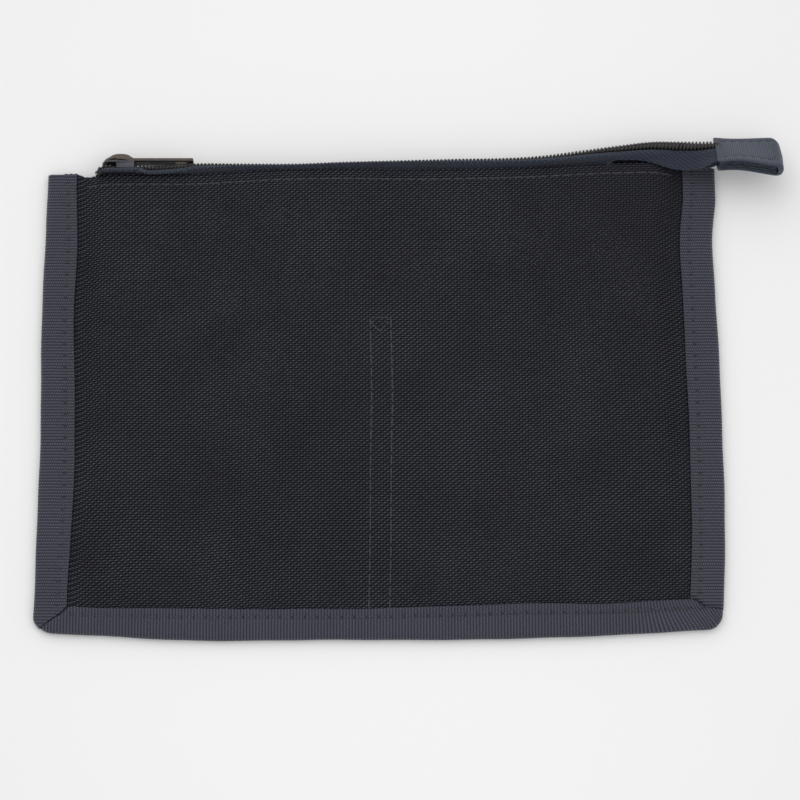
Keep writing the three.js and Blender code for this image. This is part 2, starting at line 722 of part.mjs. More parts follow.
function endTab() {
  const leaf = (low, high, from) =>
    toSolid(
      moved(new THREE.BoxGeometry(tabEnd - from, TAB_WIDTH, high - low, TAIL_CELLS, 2, 1), (x, y, z) => [
        x + (tabEnd + from) / 2,
        y + TAB_ABOVE_CHAIN - TAB_WIDTH / 2,
        z + (low + high) / 2,
      ])
    );
  const whole = leaf(-TAB_HALF_THICKNESS, TAB_HALF_THICKNESS, TAB_X);
  const inside = TAB_HALF_THICKNESS - RIBBON_THICKNESS;
  const hollow = toSolid(
    new THREE.BoxGeometry(TAB_LENGTH, 2 * TAB_WIDTH, 2 * inside).translate(
      TAB_X + TAB_LENGTH / 2 - 2 * RIBBON_THICKNESS,
      0,
      0
    )
  );
  return closed(moved(fromSolid(whole.subtract(hollow)), tabPlace));
}

function tabStitching(side) {
  const half = TAB_WIDTH / 2 - TAB_STITCH_INSET;
  const middle = TAB_ABOVE_CHAIN - TAB_WIDTH / 2;
  const box = (inset) => [
    [TAB_X + TAB_STITCH_INSET + inset, middle - half + inset],
    [tabEnd - TAB_STITCH_INSET - inset, middle - half + inset],
    [tabEnd - TAB_STITCH_INSET - inset, middle + half - inset],
    [TAB_X + TAB_STITCH_INSET + inset, middle + half - inset],
  ];
  const shape = polygon(box(0));
  shape.holes.push(new THREE.Path(box(THREAD_WIDTH).map(([x, y]) => new THREE.Vector2(x, y))));
  const low = TAB_HALF_THICKNESS + LAYER_GAP;
  return closed(moved(prism(shape, low, low + THREAD_THICKNESS), (x, y, z) => tabPlace(x, y, side * z)));
}

add("tail_end_tab", endTab(), RIBBON_COLOUR);
for (const [wallName, side] of SIDES) {
  add(`tab_${wallName}_stitching`, tabStitching(side), THREAD_COLOUR);
}

// Seams: each line of stitches is a low strip of thread on its cloth

const ON_FRONT = MESH_THICKNESS / 2 + LAYER_GAP + THREAD_THICKNESS / 2;

function seamAcross(stations, lineY, height) {
  const surface = (x, row) => {
    const y = lineY(x) + row * THREAD_WIDTH;
    return new THREE.Vector3(x, y, height(x, y));
  };
  return sheet(stations, [-0.5, 0.5], surface, THREAD_THICKNESS, true);
}

function seamUp(x, lines, height) {
  const surface = (column, y) => new THREE.Vector3(x + column * THREAD_WIDTH, y, height(x, y));
  return sheet([-0.5, 0.5], lines, surface, THREAD_THICKNESS, true);
}

const hemStations = wallStations(WALL_CELLS).filter((x) => Math.abs(x) <= INNER_HALF - SIDE_RAMP / 3 + LAYER_GAP);
const hemLine = (x) => hemEdge(x) - HEM_STITCH_DROP;
const hemStitching = seamAcross(hemStations, hemLine, (x, y) => frontZ(x, y) + ON_FRONT);
add("front_hem_stitching", hemStitching, THREAD_COLOUR);

// Inside, the back hem's stitches show on the back tape
const onBackTape = (x, y) => {
  const stack = MESH_THICKNESS / 2 + HEM_GAP + ZIP_TAPE_THICKNESS + LAYER_GAP + THREAD_THICKNESS / 2;
  return backZ(x, y) + stack;
};
const backHemStations = hemStations.filter((x) => Math.abs(x) <= INNER_HALF - SIDE_RAMP + LAYER_GAP);
const backHemInside = backHemStations.filter((x) => x < FREE_START);
add("back_hem_stitching", seamAcross(backHemInside, hemLine, onBackTape), THREAD_COLOUR);

const onBinding = () => BINDING_DEPTH + LAYER_GAP + THREAD_THICKNESS / 2;
const bindingLine = (x) => bottomInner(x) - BINDING_STITCH_INSET;
const bottomStations = range(-INNER_HALF, INNER_HALF, BORDER_CELLS);
add("bottom_binding_stitching", seamAcross(bottomStations, bindingLine, onBinding), THREAD_COLOUR);
const stitchX = INNER_HALF + BINDING_STITCH_INSET;
add("left_binding_stitching", seamUp(-stitchX, [mitreCorner, TOP - 1], onBinding), THREAD_COLOUR);
add("right_binding_stitching", seamUp(stitchX, [mitreCorner, rightTop - 1], onBinding), THREAD_COLOUR);

const dividerLines = range(bottomInner(0) + 2 * LAYER_GAP, DIVIDER_TOP, DIVIDER_CELLS);
const onFront = (x, y) => frontZ(x, y) + ON_FRONT;
add("divider_left_stitching", seamUp(DIVIDER_X - DIVIDER_WIDTH / 2, dividerLines, onFront), THREAD_COLOUR);
add("divider_right_stitching", seamUp(DIVIDER_X + DIVIDER_WIDTH / 2, dividerLines, onFront), THREAD_COLOUR);

// The bartack zigzags between the divider's two lines, starting low
function bartack() {
  const half = DIVIDER_WIDTH / 2 - THREAD_WIDTH;
  const low = DIVIDER_TOP - BARTACK_DROP;
  const turns = [-1, -0.5, 0, 0.5, 1];
  const surface = (share, column) => {
    const raised = Math.abs(Math.round(2 * share) % 2);
    const x = DIVIDER_X + share * half;
    const y = low + BARTACK_RISE * raised + column * THREAD_WIDTH;
    return new THREE.Vector3(x, y, frontZ(x, y) + ON_FRONT);
  };
  return sheet(turns, [-0.5, 0.5], surface, THREAD_THICKNESS, true);
}

add("divider_bartack", bartack(), THREAD_COLOUR);

export default parts;
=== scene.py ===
"""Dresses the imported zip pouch: woven walls, folded tapes, coils, stitches, slider, end tab and stage."""

import bmesh
import bpy
import numpy as np
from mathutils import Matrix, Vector


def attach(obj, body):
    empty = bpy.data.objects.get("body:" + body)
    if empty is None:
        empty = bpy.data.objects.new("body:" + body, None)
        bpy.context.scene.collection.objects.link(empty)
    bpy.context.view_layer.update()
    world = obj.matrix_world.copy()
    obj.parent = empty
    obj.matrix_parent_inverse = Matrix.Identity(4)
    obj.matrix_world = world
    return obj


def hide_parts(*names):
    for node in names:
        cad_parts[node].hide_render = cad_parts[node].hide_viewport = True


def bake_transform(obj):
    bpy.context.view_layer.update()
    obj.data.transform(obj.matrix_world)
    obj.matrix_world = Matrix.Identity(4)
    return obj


bl_info = {
    "name": "Mesh Zip Pouch",
    "version": (1, 0, 0),
    "blender": (4, 5, 0),
    "location": "View3D > Sidebar > Pouch",
    "description": "Builds the cloth, tapes, zip and stitches of a mesh zip pouch over its packed frame",
    "category": "Add Mesh",
}

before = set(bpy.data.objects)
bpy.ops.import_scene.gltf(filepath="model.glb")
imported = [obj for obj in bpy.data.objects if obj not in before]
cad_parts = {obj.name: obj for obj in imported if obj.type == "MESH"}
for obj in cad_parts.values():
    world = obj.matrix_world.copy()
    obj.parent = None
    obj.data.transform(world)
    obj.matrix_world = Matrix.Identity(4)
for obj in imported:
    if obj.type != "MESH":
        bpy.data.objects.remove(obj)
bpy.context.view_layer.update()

# Sizes below are in millimetres, in the part's own frame, where nothing else is said; make_piece turns
# them into metres
MM = 0.001

# Outline of the pouch
HALF_WIDTH = 92.0
TOP = 65.0
BOTTOM_BOW = 2.0
CORNER_RADIUS = 4.2
LEFT_CORNER_RADIUS = 5.4
RIGHT_CORNER_RAISE = 1.9
HEM_DROP = 1.7
HEM_SLOPE = 0.0205

# Where the wander of the edges starts, out from the middle, and how much further out it is full; and the
# same for the narrower binding, which at the bottom ends at a distance above the edge
SIDE_WANDER_START = 45
SIDE_WANDER_RUN = 38
BOTTOM_WANDER_START = 25
BOTTOM_WANDER_RUN = 30
LEFT_NARROW_START = 40
LEFT_NARROW_RUN = 42
BOTTOM_NARROW_END = 42
BOTTOM_NARROW_RUN = 32

# Binding tape: its section, its stitch line, its ribs and how its ends meet at the two lower corners
BINDING_WIDTH = 9.0
BINDING_DEPTH = 2.6
BINDING_FOLD = 0.45
INNER_HALF = HALF_WIDTH - BINDING_WIDTH
BINDING_STITCH = 6.6
STITCH_SPACING = 3.3
GROOVE_HALF = 0.8
GROOVE_DEPTH = 0.14
HOLE_DEPTH = 0.2
BINDING_PUFF = 0.12
# Where the needle holes' painted shade lies: its shift along the tape and its line across it
HOLE_SHIFT = 0.41
HOLE_LINE = 2.25
RIB_RELIEF = 0.03
RIB_FAN = 0.55
FAN_START = 65.0
FAN_RUN = 24.0
MITRE_GAP = 0.12
BOTTOM_GAP = 0.4
RIGHT_FOLD_DROP = 2.8
RIGHT_FOLD_RUN = 5.2
FOLD_SHADE = 1.8
LEFT_TUCK = 0.3
RIGHT_TUCK = 0.35
CORNER_GAP = 0.2

# Heights of the three walls and how they rise from the binding
BACK_LAYER_Z = 0.8
POCKET_LAYER_Z = 1.3
FRONT_LAYER_Z = 1.8
BACK_REST_Z = 0.2
FRONT_RISE = 4.4
POCKET_RISE = 4.0
SIDE_RAMP = 9.0
BOTTOM_RAMP = 60.0
BACK_RAMP = 4.5
POCKET_TOP = 18.0
HEM_FOLD_RADIUS = 0.17
HEM_FOLD_DEPTH = 6.5
WALL_THICKNESS = 0.4

# Slow unevenness of the loose cloth: for each wave its height, its lengths to the right and upwards, and
# where it starts
RUMPLE = ((0.16, 19, 31, 0), (0.13, 11, -23, 1.3), (0.07, 41, 9, 0.6))
RUMPLE_FADE = 12

# The weave: how far its threads go over and under, how its painted highlight arcs and its threads lean, and
# how far it reaches under the binding
UPRIGHT_CRIMP = 0.05
LEVEL_CRIMP = 0.11
HIGHLIGHT_LEAN = 0.9
SEAM_REACH = 87.2
SEAM_DEPTH = 4.0
POCKET_LEAN = 0.02
BACK_LEAN = -0.03

# How the front wall is shared into three zones
ZONE_HALF = 40.0

# Divider seam between the slip pockets, the stitch lines of the hems, and the stitches themselves: how high
# they lie on the cloth, how flat they are, how deep their ends sink and how much of their length is open
DIVIDER_X = 0.2
DIVIDER_HALF = 2.8
DIVIDER_TOP = 23.0
HEM_STITCH_END = 80.0
FRONT_HEM_STITCH = 2.75
BACK_HEM_STITCH = 3.0
BACK_HEM_SEWN = (-74, 55)
BARTACK_HEIGHT = 4.2
STITCH_LIFT = 0.2
BACK_STITCH_LIFT = 1.05
STITCH_FLATNESS = 0.62
STITCH_SINK = 0.45
STITCH_GAP = 0.1

# Zip: where its pieces lie along it, how the slider parts it, how its tapes hang and where that changes.
# TAPE_UNDER is how far out a tape's top lies: along the zip, at the tail and in front of the pull
CHAIN_Z = 4.75
LEFT_DIP = 0.9
SLIDER_X = -71.75
TAPE_LEFT = -77.4
COIL_LEFT = -78.3
TAIL_X = 83.15
TAB_X = 91.7
TAB_LENGTH = 19.0
TAIL_END = TAB_X + TAB_LENGTH - 3.4
TAIL_LIFT = 1.6
TAIL_ROLL = np.radians(33)
LIFT_START = 0.65 * HALF_WIDTH
WEDGE = 1.1
TAPE_THICKNESS = 0.45
TAPE_START = 0.25
TAPE_UNDER = (-0.45, -1.35, -0.95)
HEM_GAP = 0.3
TAPE_BEHIND_HEM = 7.5
SLIDER_REACH = 8
UNDER_PULL = (-66, -50)
FULL_COIL_START = 35
AT_TAIL_START = 56
HEM_EXIT = 0.62 * HALF_WIDTH
DROOP_START = 70
PINCH_START = 74
FREE_DEPTH = 6.8
BACK_DEPTH = 4
COIL_REACH = 0.8
CORE_OUT = 0.35
CORE_ACROSS = 0.85
CORE_HALF = 0.62
SIDES = {"front": 1, "back": -1}

# Slider: how it is set nearer to the pouch than in the frame, and where and how deep shade is painted on the
# pull's underside
SLIDER_SINK = 0.55
CROWN_STRETCH = 1.13
CRANK_X = SLIDER_X + np.linspace(1.2, 3.7, 5)
CRANK_DROP = 0.5
PULL_SHARE = 0.75
PULL_UNDERSIDE = 67.64
UNDERSIDE_SHADE = 0.12

# End tab: its edges away from the pouch and towards it, and the ribbon's loop
TAB_HIGH = 3.1
TAB_LOW = -8.4
TAB_HALF = 2.2
TAB_THICKNESS = 0.75
TAB_TURN = 1.6
TAB_STITCH = 1.9

# Stage, seen from above the middle of the picture; the sky is even and white
FLOOR_Z = -0.05
FLOOR_HALF = 2500.0
SKY_STRENGTH = 0.78
CAMERA_TARGET = (5.7, 1.4, 0)

# Each lamp's place and size, both in metres, and its power in watts
KEY_LAMP = ((-0.5, 0.9, 1.3), 1.75, 7.3)
FILL_LAMP = ((0.9, -0.3, 1.4), 1.1, 3.1)

# Courses below are [place, value] pairs of smooth curves. Each is given over the distance from the middle
# unless it says otherwise.

# The zip's height above the left top corner, and how far it is rolled over, in degrees
ZIP_COURSE = [
    [-80.2, -2.6],
    [-78.4, -1.4],
    [-76.9, -0.3],
    [-75.0, 0.4],
    [SLIDER_X, 0.5],
    [-62.0, 0.72],
    [-49.3, 0.85],
    [-36.0, 0.65],
    [-22.0, 0.6],
    [-10.8, 1.05],
    [0.2, 1.35],
    [22.2, 2.0],
    [33.2, 2.25],
    [44.2, 2.95],
    [55.2, 4.5],
    [66.2, 6.1],
    [75.0, 7.05],
    [82.6, 6.85],
    [HALF_WIDTH, 6.35],
    [TAB_X + TAB_LENGTH, 6.05],
]
ROLL_COURSE = [
    [-80, 0],
    [-62, 0],
    [-50, 16],
    [40, 18],
    [58, 0],
    [72, -13],
    [81, -12],
    [88, 6],
    [92, 33],
    [112, 33],
]

# How far the front hem's edge lies above a straight line
HEM_WAVE = [
    [-83, 2.1],
    [-80.3, 0.7],
    [-77, 0.4],
    [-66, 0.3],
    [-52, -0.15],
    [-39, 0.2],
    [-27, 0.68],
    [-8, 0.55],
    [9, 0],
    [34, -0.1],
    [47, 0.2],
    [58, 0.65],
    [83, 0.75],
]

# How far the edges lie outside the plain outline: the sides over the height, the bottom over the distance
LEFT_WANDER = [[-58, 0.5], [-40, 0.2], [-13, -0.2], [15, 0.1], [30, 0.15], [48, -0.3], [60, -0.63]]
RIGHT_WANDER = [[-62, 0.1], [-50, 0.8], [-30, 1.25], [0, 1.0], [15, 0.6], [32, 0], [48, -0.4], [58, 0.55]]
BOTTOM_WANDER = [
    [-92, 0.45],
    [-75, 0.45],
    [-52, 1.15],
    [-20, 0.45],
    [10, 0.35],
    [33, 0.4],
    [60, 0],
    [88, -0.5],
]

# How much narrower the binding is than its plain width: at the bottom over the distance, at the left over the
# height
BOTTOM_NARROW = [
    [-84, 1.7],
    [-73, 1.75],
    [-62, 1.0],
    [-40, 0.5],
    [-21, 0.85],
    [5, 0.6],
    [40, -0.3],
    [60, 0.45],
    [84, 0.6],
]
LEFT_NARROW = [[-60, 0.1], [-48, 0.25], [-38, -0.3], [-4, -0.35], [19, 0.25], [44, 0.1], [55, 0.6], [61, 1.0]]

# How far the divider's two seams lie to the right of its middle, over the height
DIVIDER_WANDER = [[-54, 0], [-37, 0.3], [-18, 0.35], [1, 0.65], [23, 0.2]]


def linear(red, green, blue):
    """The scene-linear colour of an sRGB colour given from 0 to 255."""
    share = np.array([red, green, blue]) / 255
    return tuple(np.where(share < 0.04045, share / 12.92, ((share + 0.055) / 1.055) ** 2.4))


# Sizes and colours that a user would change


def length_setting(name, description, default, least=0):
    """A length in metres."""
    return bpy.props.FloatProperty(
        name=name, description=description, default=default, min=least, precision=5, unit="LENGTH"
    )


def colour_setting(name, description, red, green, blue):
    """A colour, whose default is given in sRGB from 0 to 255."""
    return bpy.props.FloatVectorProperty(
        name=name, description=description, subtype="COLOR", default=linear(red, green, blue), min=0, max=1
    )


class ClothSettings(bpy.types.PropertyGroup):
    upright_spacing: length_setting(
        "Upright thread spacing", "Distance between threads that run up to the zip", 0.0008, 0.0004
    )
    level_spacing: length_setting(
        "Level thread spacing", "Distance between threads that run along the zip", 0.00064, 0.0003
    )
    upright_width: length_setting(
        "Upright thread width", "Width of the threads that run up to the zip", 0.00052
    )
    level_width: length_setting("Level thread width", "Width of the threads that run along the zip", 0.00044)
    # The mesh colour is a painted highlight on the level threads where they pass over; the shade colour is
    # the threads' own dark colour, with painted shade where they pass under
    colour: colour_setting("Mesh colour", "Colour of threads that pass over", 78, 80, 89)
    shade_colour: colour_setting("Mesh shade colour", "Colour of threads that pass under", 24, 24, 28)


class TapeSettings(bpy.types.PropertyGroup):
    rib_spacing: length_setting("Rib spacing", "Distance between the ribs of the binding tape", 0.00083)
    binding_colour: colour_setting("Binding colour", "Colour of the binding tape", 84, 86, 100)
    zip_tape_colour: colour_setting("Zip tape colour", "Colour of the two zip tapes", 67, 75, 93)
    tab_colour: colour_setting("End tab colour", "Colour of the ribbon at the zip's end", 74, 81, 97)


class ZipSettings(bpy.types.PropertyGroup):
    tooth_spacing: length_setting("Tooth spacing", "Distance between the turns of one coil", 0.001)
    wire_radius: length_setting("Coil wire radius", "Radius of the nylon wire of the coils", 0.0003)
    coil_colour: colour_setting("Coil colour", "Colour of the nylon coils", 43, 41, 41)
    metal_colour: colour_setting("Slider colour", "Colour of the slider's crown and its pull", 76, 70, 66)
    body_colour: colour_setting("Slider body colour", "Colour of the slider's plates", 68, 70, 75)


class StitchSettings(bpy.types.PropertyGroup):
    length: length_setting("Stitch length", "Distance from one needle hole to the next", 0.0034)
    width: length_setting("Stitch width", "Width of the sewing thread where it lies on the cloth", 0.0004)
    colour: colour_setting("Thread colour", "Colour of the sewing thread", 62, 65, 72)


class StageSettings(bpy.types.PropertyGroup):
    floor_colour: colour_setting("Floor colour", "Colour of the pale floor", 243, 243, 243)
    camera_distance: length_setting("Camera distance", "From the camera to the middle of the pouch", 1.04)
    camera_elevation: bpy.props.FloatProperty(
        name="Camera elevation",
        description="Angle of the camera above the floor",
        default=np.radians(75),
        unit="ROTATION",
    )
    camera_lens: bpy.props.FloatProperty(
        name="Camera lens",
        description="Focal length of the camera in millimetres",
        default=172,
    )


# Shapes of the pouch


def stack(*values):
    """Points, or places in a pattern, from their coordinates, each an array or a number."""
    return np.stack(np.broadcast_arrays(*values), axis=-1).astype(float)


def smooth(share):
    """Rises from 0 to 1 with level ends: three times the square less twice the cube."""
    share = np.clip(share, 0, 1)
    return share * share * (3 - 2 * share)


def mix(low, high, share):
    """The value that lies a share of the way from low to high."""
    return low + (high - low) * share


def curve(course, x):
    """Cubic curve through [place, value] pairs; its slope at each is the mean of those on its two sides."""
    knots, values = np.array(course, dtype=float).T
    slopes = np.diff(values) / np.diff(knots)
    tangents = np.concatenate([slopes[:1], (slopes[1:] + slopes[:-1]) / 2, slopes[-1:]])
    x = np.clip(x, knots[0], knots[-1])
    cell = np.clip(np.searchsorted(knots, x) - 1, 0, len(knots) - 2)
    span = knots[cell + 1] - knots[cell]
    t = (x - knots[cell]) / span
    start = (1 + 2 * t) * (1 - t) ** 2 * values[cell] + t * (1 - t) ** 2 * span * tangents[cell]
    end = t * t * (3 - 2 * t) * values[cell + 1] - t * t * (1 - t) * span * tangents[cell + 1]
    return start + end


def bottom_edge(x):
    """The bottom seam's outer edge, a shallow parabola that is lowest in the middle."""
    return -TOP + BOTTOM_BOW * (x / HALF_WIDTH) ** 2


def bottom_inner(x):
    """The bottom binding's inner edge, one tape width above the seam's outer edge."""
    return bottom_edge(x) + BINDING_WIDTH


def hem_edge(x):
    """The folded top of the walls, a straight line that climbs towards the zip's tail."""
    return TOP - HEM_DROP + HEM_SLOPE * (x + INNER_HALF)


def front_hem(x):
    """The folded top of the front wall: the straight line with the wave of the loose cloth."""
    return hem_edge(x) + curve(HEM_WAVE, x)


def pocket_edge(x):
    """The top of the pocket layer, a straight line that climbs with the hem."""
    return POCKET_TOP + HEM_SLOPE * x


def swell(x, y):
    """How far the front has risen, from 0 to 1: a ramp in from each side times one up from the bottom."""
    return smooth((INNER_HALF - np.abs(x)) / SIDE_RAMP) * smooth((y - bottom_inner(x)) / BOTTOM_RAMP)


def rumple(x, y):
    """Slow unevenness of loose cloth: a sum of three long slanted waves, fading out at the binding."""
    waves = sum(high * np.sin(x / run_x + y / run_y + start) for high, run_x, run_y, start in RUMPLE)
    beside, above = INNER_HALF - np.abs(x), y - bottom_inner(x)
    return waves * smooth(beside / RUMPLE_FADE) * smooth(above / RUMPLE_FADE)


def front_z(x, y):
    """Height of the front wall's middle: where it lies in the binding, plus its rise times the swell."""
    return FRONT_LAYER_Z + FRONT_RISE * swell(x, y)


def pocket_z(x, y):
    """Height of the pocket layer's middle, worked out in the same way, close behind the front wall."""
    return POCKET_LAYER_Z + POCKET_RISE * swell(x, y)


def back_z(x, y):
    """Height of the back wall's middle: on the rest face, raised into the binding round its edges."""
    inside = np.minimum(INNER_HALF - np.abs(x), y - bottom_inner(x))
    return mix(BACK_LAYER_Z, BACK_REST_Z, smooth((inside - 0.1) / BACK_RAMP))


def zip_height(x):
    """Height of the zip above the left top corner."""
    return curve(ZIP_COURSE, x)


def chain_z(x):
    """Height of the chain: level, dipping at the left corner and lifting towards the free tail."""
    dip = LEFT_DIP * smooth((SLIDER_X - 4 - x) / 5)
    return CHAIN_Z - dip + TAIL_LIFT * smooth((x - LIFT_START) / (0.33 * HALF_WIDTH))


def parted(x):
    """How far the slider holds each coil from the chain's middle: fully on its left, not on its right."""
    return WEDGE * smooth((SLIDER_X - 0.6 - x) / 1.3)


def zip_point(x, out, across):
    """A point of the zip, rolled over by its course: out is away from the pouch, across is to the front."""
    roll = np.radians(curve(ROLL_COURSE, x))
    y = TOP + zip_height(x) + out * np.cos(roll) + across * np.sin(roll)
    z = chain_z(x) - out * np.sin(roll) + across * np.cos(roll)
    return stack(x, y, z)


def settled(points):
    """Moves points with the wander of the nearest edge, and with the binding where it is narrower.

    The wander is full at the edge and fades out further in; the narrowing is full at the binding's inner
    edge and fades out both ways.
    """
    x, y, z = np.moveaxis(points, -1, 0)
    beside = np.abs(x)
    at_side = smooth((beside - SIDE_WANDER_START) / SIDE_WANDER_RUN)
    outwards = np.where(x < 0, -curve(LEFT_WANDER, y), curve(RIGHT_WANDER, y)) * at_side
    further = smooth((beside - LEFT_NARROW_START) / LEFT_NARROW_RUN)
    at_left = smooth((HALF_WIDTH - beside) / BINDING_WIDTH) * further * (x < 0)
    down = curve(BOTTOM_WANDER, x) * smooth((-y - BOTTOM_WANDER_START) / BOTTOM_WANDER_RUN)
    above = y - bottom_edge(x)
    at_bottom = smooth(above / BINDING_WIDTH) * smooth((BOTTOM_NARROW_END - above) / BOTTOM_NARROW_RUN)
    new_x = x + outwards - at_left * curve(LEFT_NARROW, y)
    return stack(new_x, y - down - at_bottom * curve(BOTTOM_NARROW, x), z)


def round_corner(points):
    """Pulls the bottom corners in to quarter circles; points keep their share of the way to the edge."""
    x, y, z = np.moveaxis(points, -1, 0)
    radius = np.where(x < 0, LEFT_CORNER_RADIUS, CORNER_RADIUS)
    centre_x = HALF_WIDTH - radius
    centre_y = bottom_edge(HALF_WIDTH - radius / 2) + radius
    beyond_x = np.maximum(np.abs(x) - centre_x, 0)
    beyond_y = np.minimum(y - centre_y, 0)
    longest = np.maximum(beyond_x, -beyond_y)
    length = np.maximum(np.hypot(beyond_x, beyond_y), 1e-9)
    inside_corner = (beyond_x > 0) & (beyond_y < 0)
    pull = np.where(inside_corner, longest / length, 1)
    new_x = np.where(inside_corner, np.sign(x) * (centre_x + beyond_x * pull), x)
    new_y = np.where(inside_corner, centre_y + beyond_y * pull, y)
    return stack(new_x, new_y, z)


# Meshes

# Angles of the six sides of a rod, such as a wire or a thread
RING = 2 * np.pi * np.arange(6) / 6


def grid_faces(rows, columns, closed=False):
    """Quads of a grid of points stored row after row; closed joins the last column to the first."""
    row, column = np.meshgrid(np.arange(rows - 1), np.arange(columns - 1 + closed), indexing="ij")
    following = (column + 1) % columns
    corners = [row * columns + column, row * columns + following]
    corners += [(row + 1) * columns + following, (row + 1) * columns + column]
    return np.stack(corners, axis=-1).reshape(-1, 4)


def rod_faces(rows):
    """Quads of a closed six-sided rod whose rings are stored one after another."""
    ends = np.array([[0, 1, 2, 3], [0, 3, 4, 5]])
    return np.concatenate([grid_faces(rows, 6, closed=True), ends, ends[:, ::-1] + (rows - 1) * 6])


def place_mesh(name, mesh):
    """A smoothly shaded object at the origin that holds a mesh."""
    mesh.shade_smooth()
    piece = bpy.data.objects.new(name, mesh)
    bpy.context.scene.collection.objects.link(piece)
    return piece


def make_piece(name, points, faces, pattern=None):
    """A mesh object at the origin from points in millimetres, quads, and pattern places in millimetres."""
    mesh = bpy.data.meshes.new(name)
    mesh.vertices.add(len(points))
    mesh.vertices.foreach_set("co", (points * MM).astype(np.float32).ravel())
    mesh.loops.add(faces.size)
    mesh.loops.foreach_set("vertex_index", faces.astype(np.int32).ravel())
    mesh.polygons.add(len(faces))
    mesh.polygons.foreach_set("loop_start", np.arange(len(faces), dtype=np.int32) * 4)
    mesh.update(calc_edges=True)
    if pattern is not None:
        layer = mesh.uv_layers.new(name="Weave")
        layer.data.foreach_set("uv", pattern[faces.ravel()].astype(np.float32).ravel())
    return place_mesh(name, mesh)


def slab(name, outer, inner, pattern):
    """A closed body between two grids of points of the same shape, joined round all four sides."""
    rows, columns = outer.shape[:2]
    count = rows * columns
    face = grid_faces(rows, columns)
    index = np.arange(count).reshape(rows, columns)
    border = np.concatenate([index[0, :-1], index[:-1, -1], index[-1, :0:-1], index[:0:-1, 0]])
    after = np.roll(border, -1)
    rim = np.stack([border, border + count, after + count, after], axis=-1)
    faces = np.concatenate([face, face[:, ::-1] + count, rim])
    points = np.concatenate([outer.reshape(-1, 3), inner.reshape(-1, 3)])
    flat = pattern.reshape(-1, 2)
    piece = make_piece(name, points, faces, np.concatenate([flat, flat]))
    piece.data.set_sharp_from_angle(angle=np.radians(50))
    return turn_outwards(piece)


def normals_of(surface):
    """Unit normals of a grid of points, across its rows and columns."""
    normal = np.cross(np.gradient(surface, axis=1), np.gradient(surface, axis=0))
    return normal / np.maximum(np.linalg.norm(normal, axis=-1, keepdims=True), 1e-9)


def finish_piece(piece, material, body, nodes):
    """Gives a piece its material and slot, lets it ride on a body, and lets it stand for its CAD nodes."""
    piece.data.materials.clear()
    piece.data.materials.append(material)
    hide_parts(*nodes)
    if body:
        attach(piece, body)
    return piece


def turn_outwards(piece):
    """Points the faces of a closed mesh outwards."""
    shell = bmesh.new()
    shell.from_mesh(piece.data)
    bmesh.ops.recalc_face_normals(shell, faces=shell.faces)
    shell.to_mesh(piece.data)
    shell.free()
    return piece


# Materials


class Nodes:
    """Adds and joins the nodes of one material or node group."""

    def __init__(self, tree):
        self.tree = tree

    def add(self, kind, **settings):
        node = self.tree.nodes.new(kind)
        for name, value in settings.items():
            setattr(node, name, value)
        return node

    def link(self, source, target):
        self.tree.links.new(source, target)

    def maths(self, operation, *values):
        node = self.add("ShaderNodeMath", operation=operation)
        for socket, value in zip(node.inputs, values):
            if isinstance(value, (int, float)):
                socket.default_value = value
            else:
                self.link(value, socket)
        return node.outputs[0]

    def times(self, first, *others):
        """The product of two or more values."""
        for other in others:
            first = self.maths("MULTIPLY", first, other)
        return first

    def line(self, value, slope, start):
        """The value times a slope, and then a start added."""
        return self.maths("MULTIPLY_ADD", value, slope, start)

    def minus(self, value, other):
        return self.maths("SUBTRACT", value, other)

    def clamp(self, value):
        """The value kept between 0 and 1."""
        node = self.add("ShaderNodeClamp")
        self.link(value, node.inputs["Value"])
        return node.outputs[0]

    def split(self, vector):
        """The first two coordinates of a vector."""
        node = self.add("ShaderNodeSeparateXYZ")
        self.link(vector, node.inputs[0])
        return node.outputs[0], node.outputs[1]

    def blend(self, share, low, high):
        """A colour between two colours; each may be a socket or a colour."""
        node = self.add("ShaderNodeMix", data_type="RGBA")
        self.link(share, node.inputs["Factor"])
        for socket, value in ((node.inputs[6], low), (node.inputs[7], high)):
            if isinstance(value, bpy.types.NodeSocket):
                self.link(value, socket)
            else:
                socket.default_value = (*value, 1)
        return node.outputs[2]

    def pattern(self):
        """The piece's own pattern coordinates in millimetres."""
        return self.add("ShaderNodeUVMap", uv_map="Weave").outputs["UV"]

    def place(self):
        """The place on the object, in metres."""
        return self.add("ShaderNodeTexCoord").outputs["Object"]


def new_group(name, inputs, outputs):
    """A node group with float or vector inputs and float outputs; returns its nodes and its two ends."""
    tree = bpy.data.node_groups.new(name, "ShaderNodeTree")
    for label, kind, default in inputs:
        socket = tree.interface.new_socket(name=label, in_out="INPUT", socket_type=kind)
        if default is not None:
            socket.default_value = default
    for label in outputs:
        tree.interface.new_socket(name=label, in_out="OUTPUT", socket_type="NodeSocketFloat")
    nodes = Nodes(tree)
    return nodes, nodes.add("NodeGroupInput"), nodes.add("NodeGroupOutput")


def rib_group():
    """Ribs across a tape: rounded ridges, broken by warp yarns that cross every other ridge."""
    nodes, given, out = new_group(
        "Ribbed weave",
        [
            ("Pattern", "NodeSocketVector", None),
            ("Rib spacing", "NodeSocketFloat", 0.6),
            ("Yarn spacing", "NodeSocketFloat", 0.4),
            ("Slant", "NodeSocketFloat", 0.0),
        ],
        ["Height", "Ridge"],
    )
    first, second = nodes.split(given.outputs["Pattern"])
    leaning = nodes.line(second, given.outputs["Slant"], first)
    along = nodes.maths("DIVIDE", leaning, given.outputs["Rib spacing"])
    across = nodes.maths("DIVIDE", second, given.outputs["Yarn spacing"])
    wave = nodes.maths("SINE", nodes.times(along, np.pi))
    ridge = nodes.times(wave, wave)
    shift = nodes.times(nodes.maths("FLOOR", along), 0.5)
    yarn = nodes.maths("ABSOLUTE", nodes.maths("SINE", nodes.times(nodes.maths("ADD", across, shift), np.pi)))
    nodes.link(nodes.times(ridge, nodes.line(yarn, 0.8, 0.2)), out.inputs["Height"])
    nodes.link(ridge, out.inputs["Ridge"])
    return nodes.tree


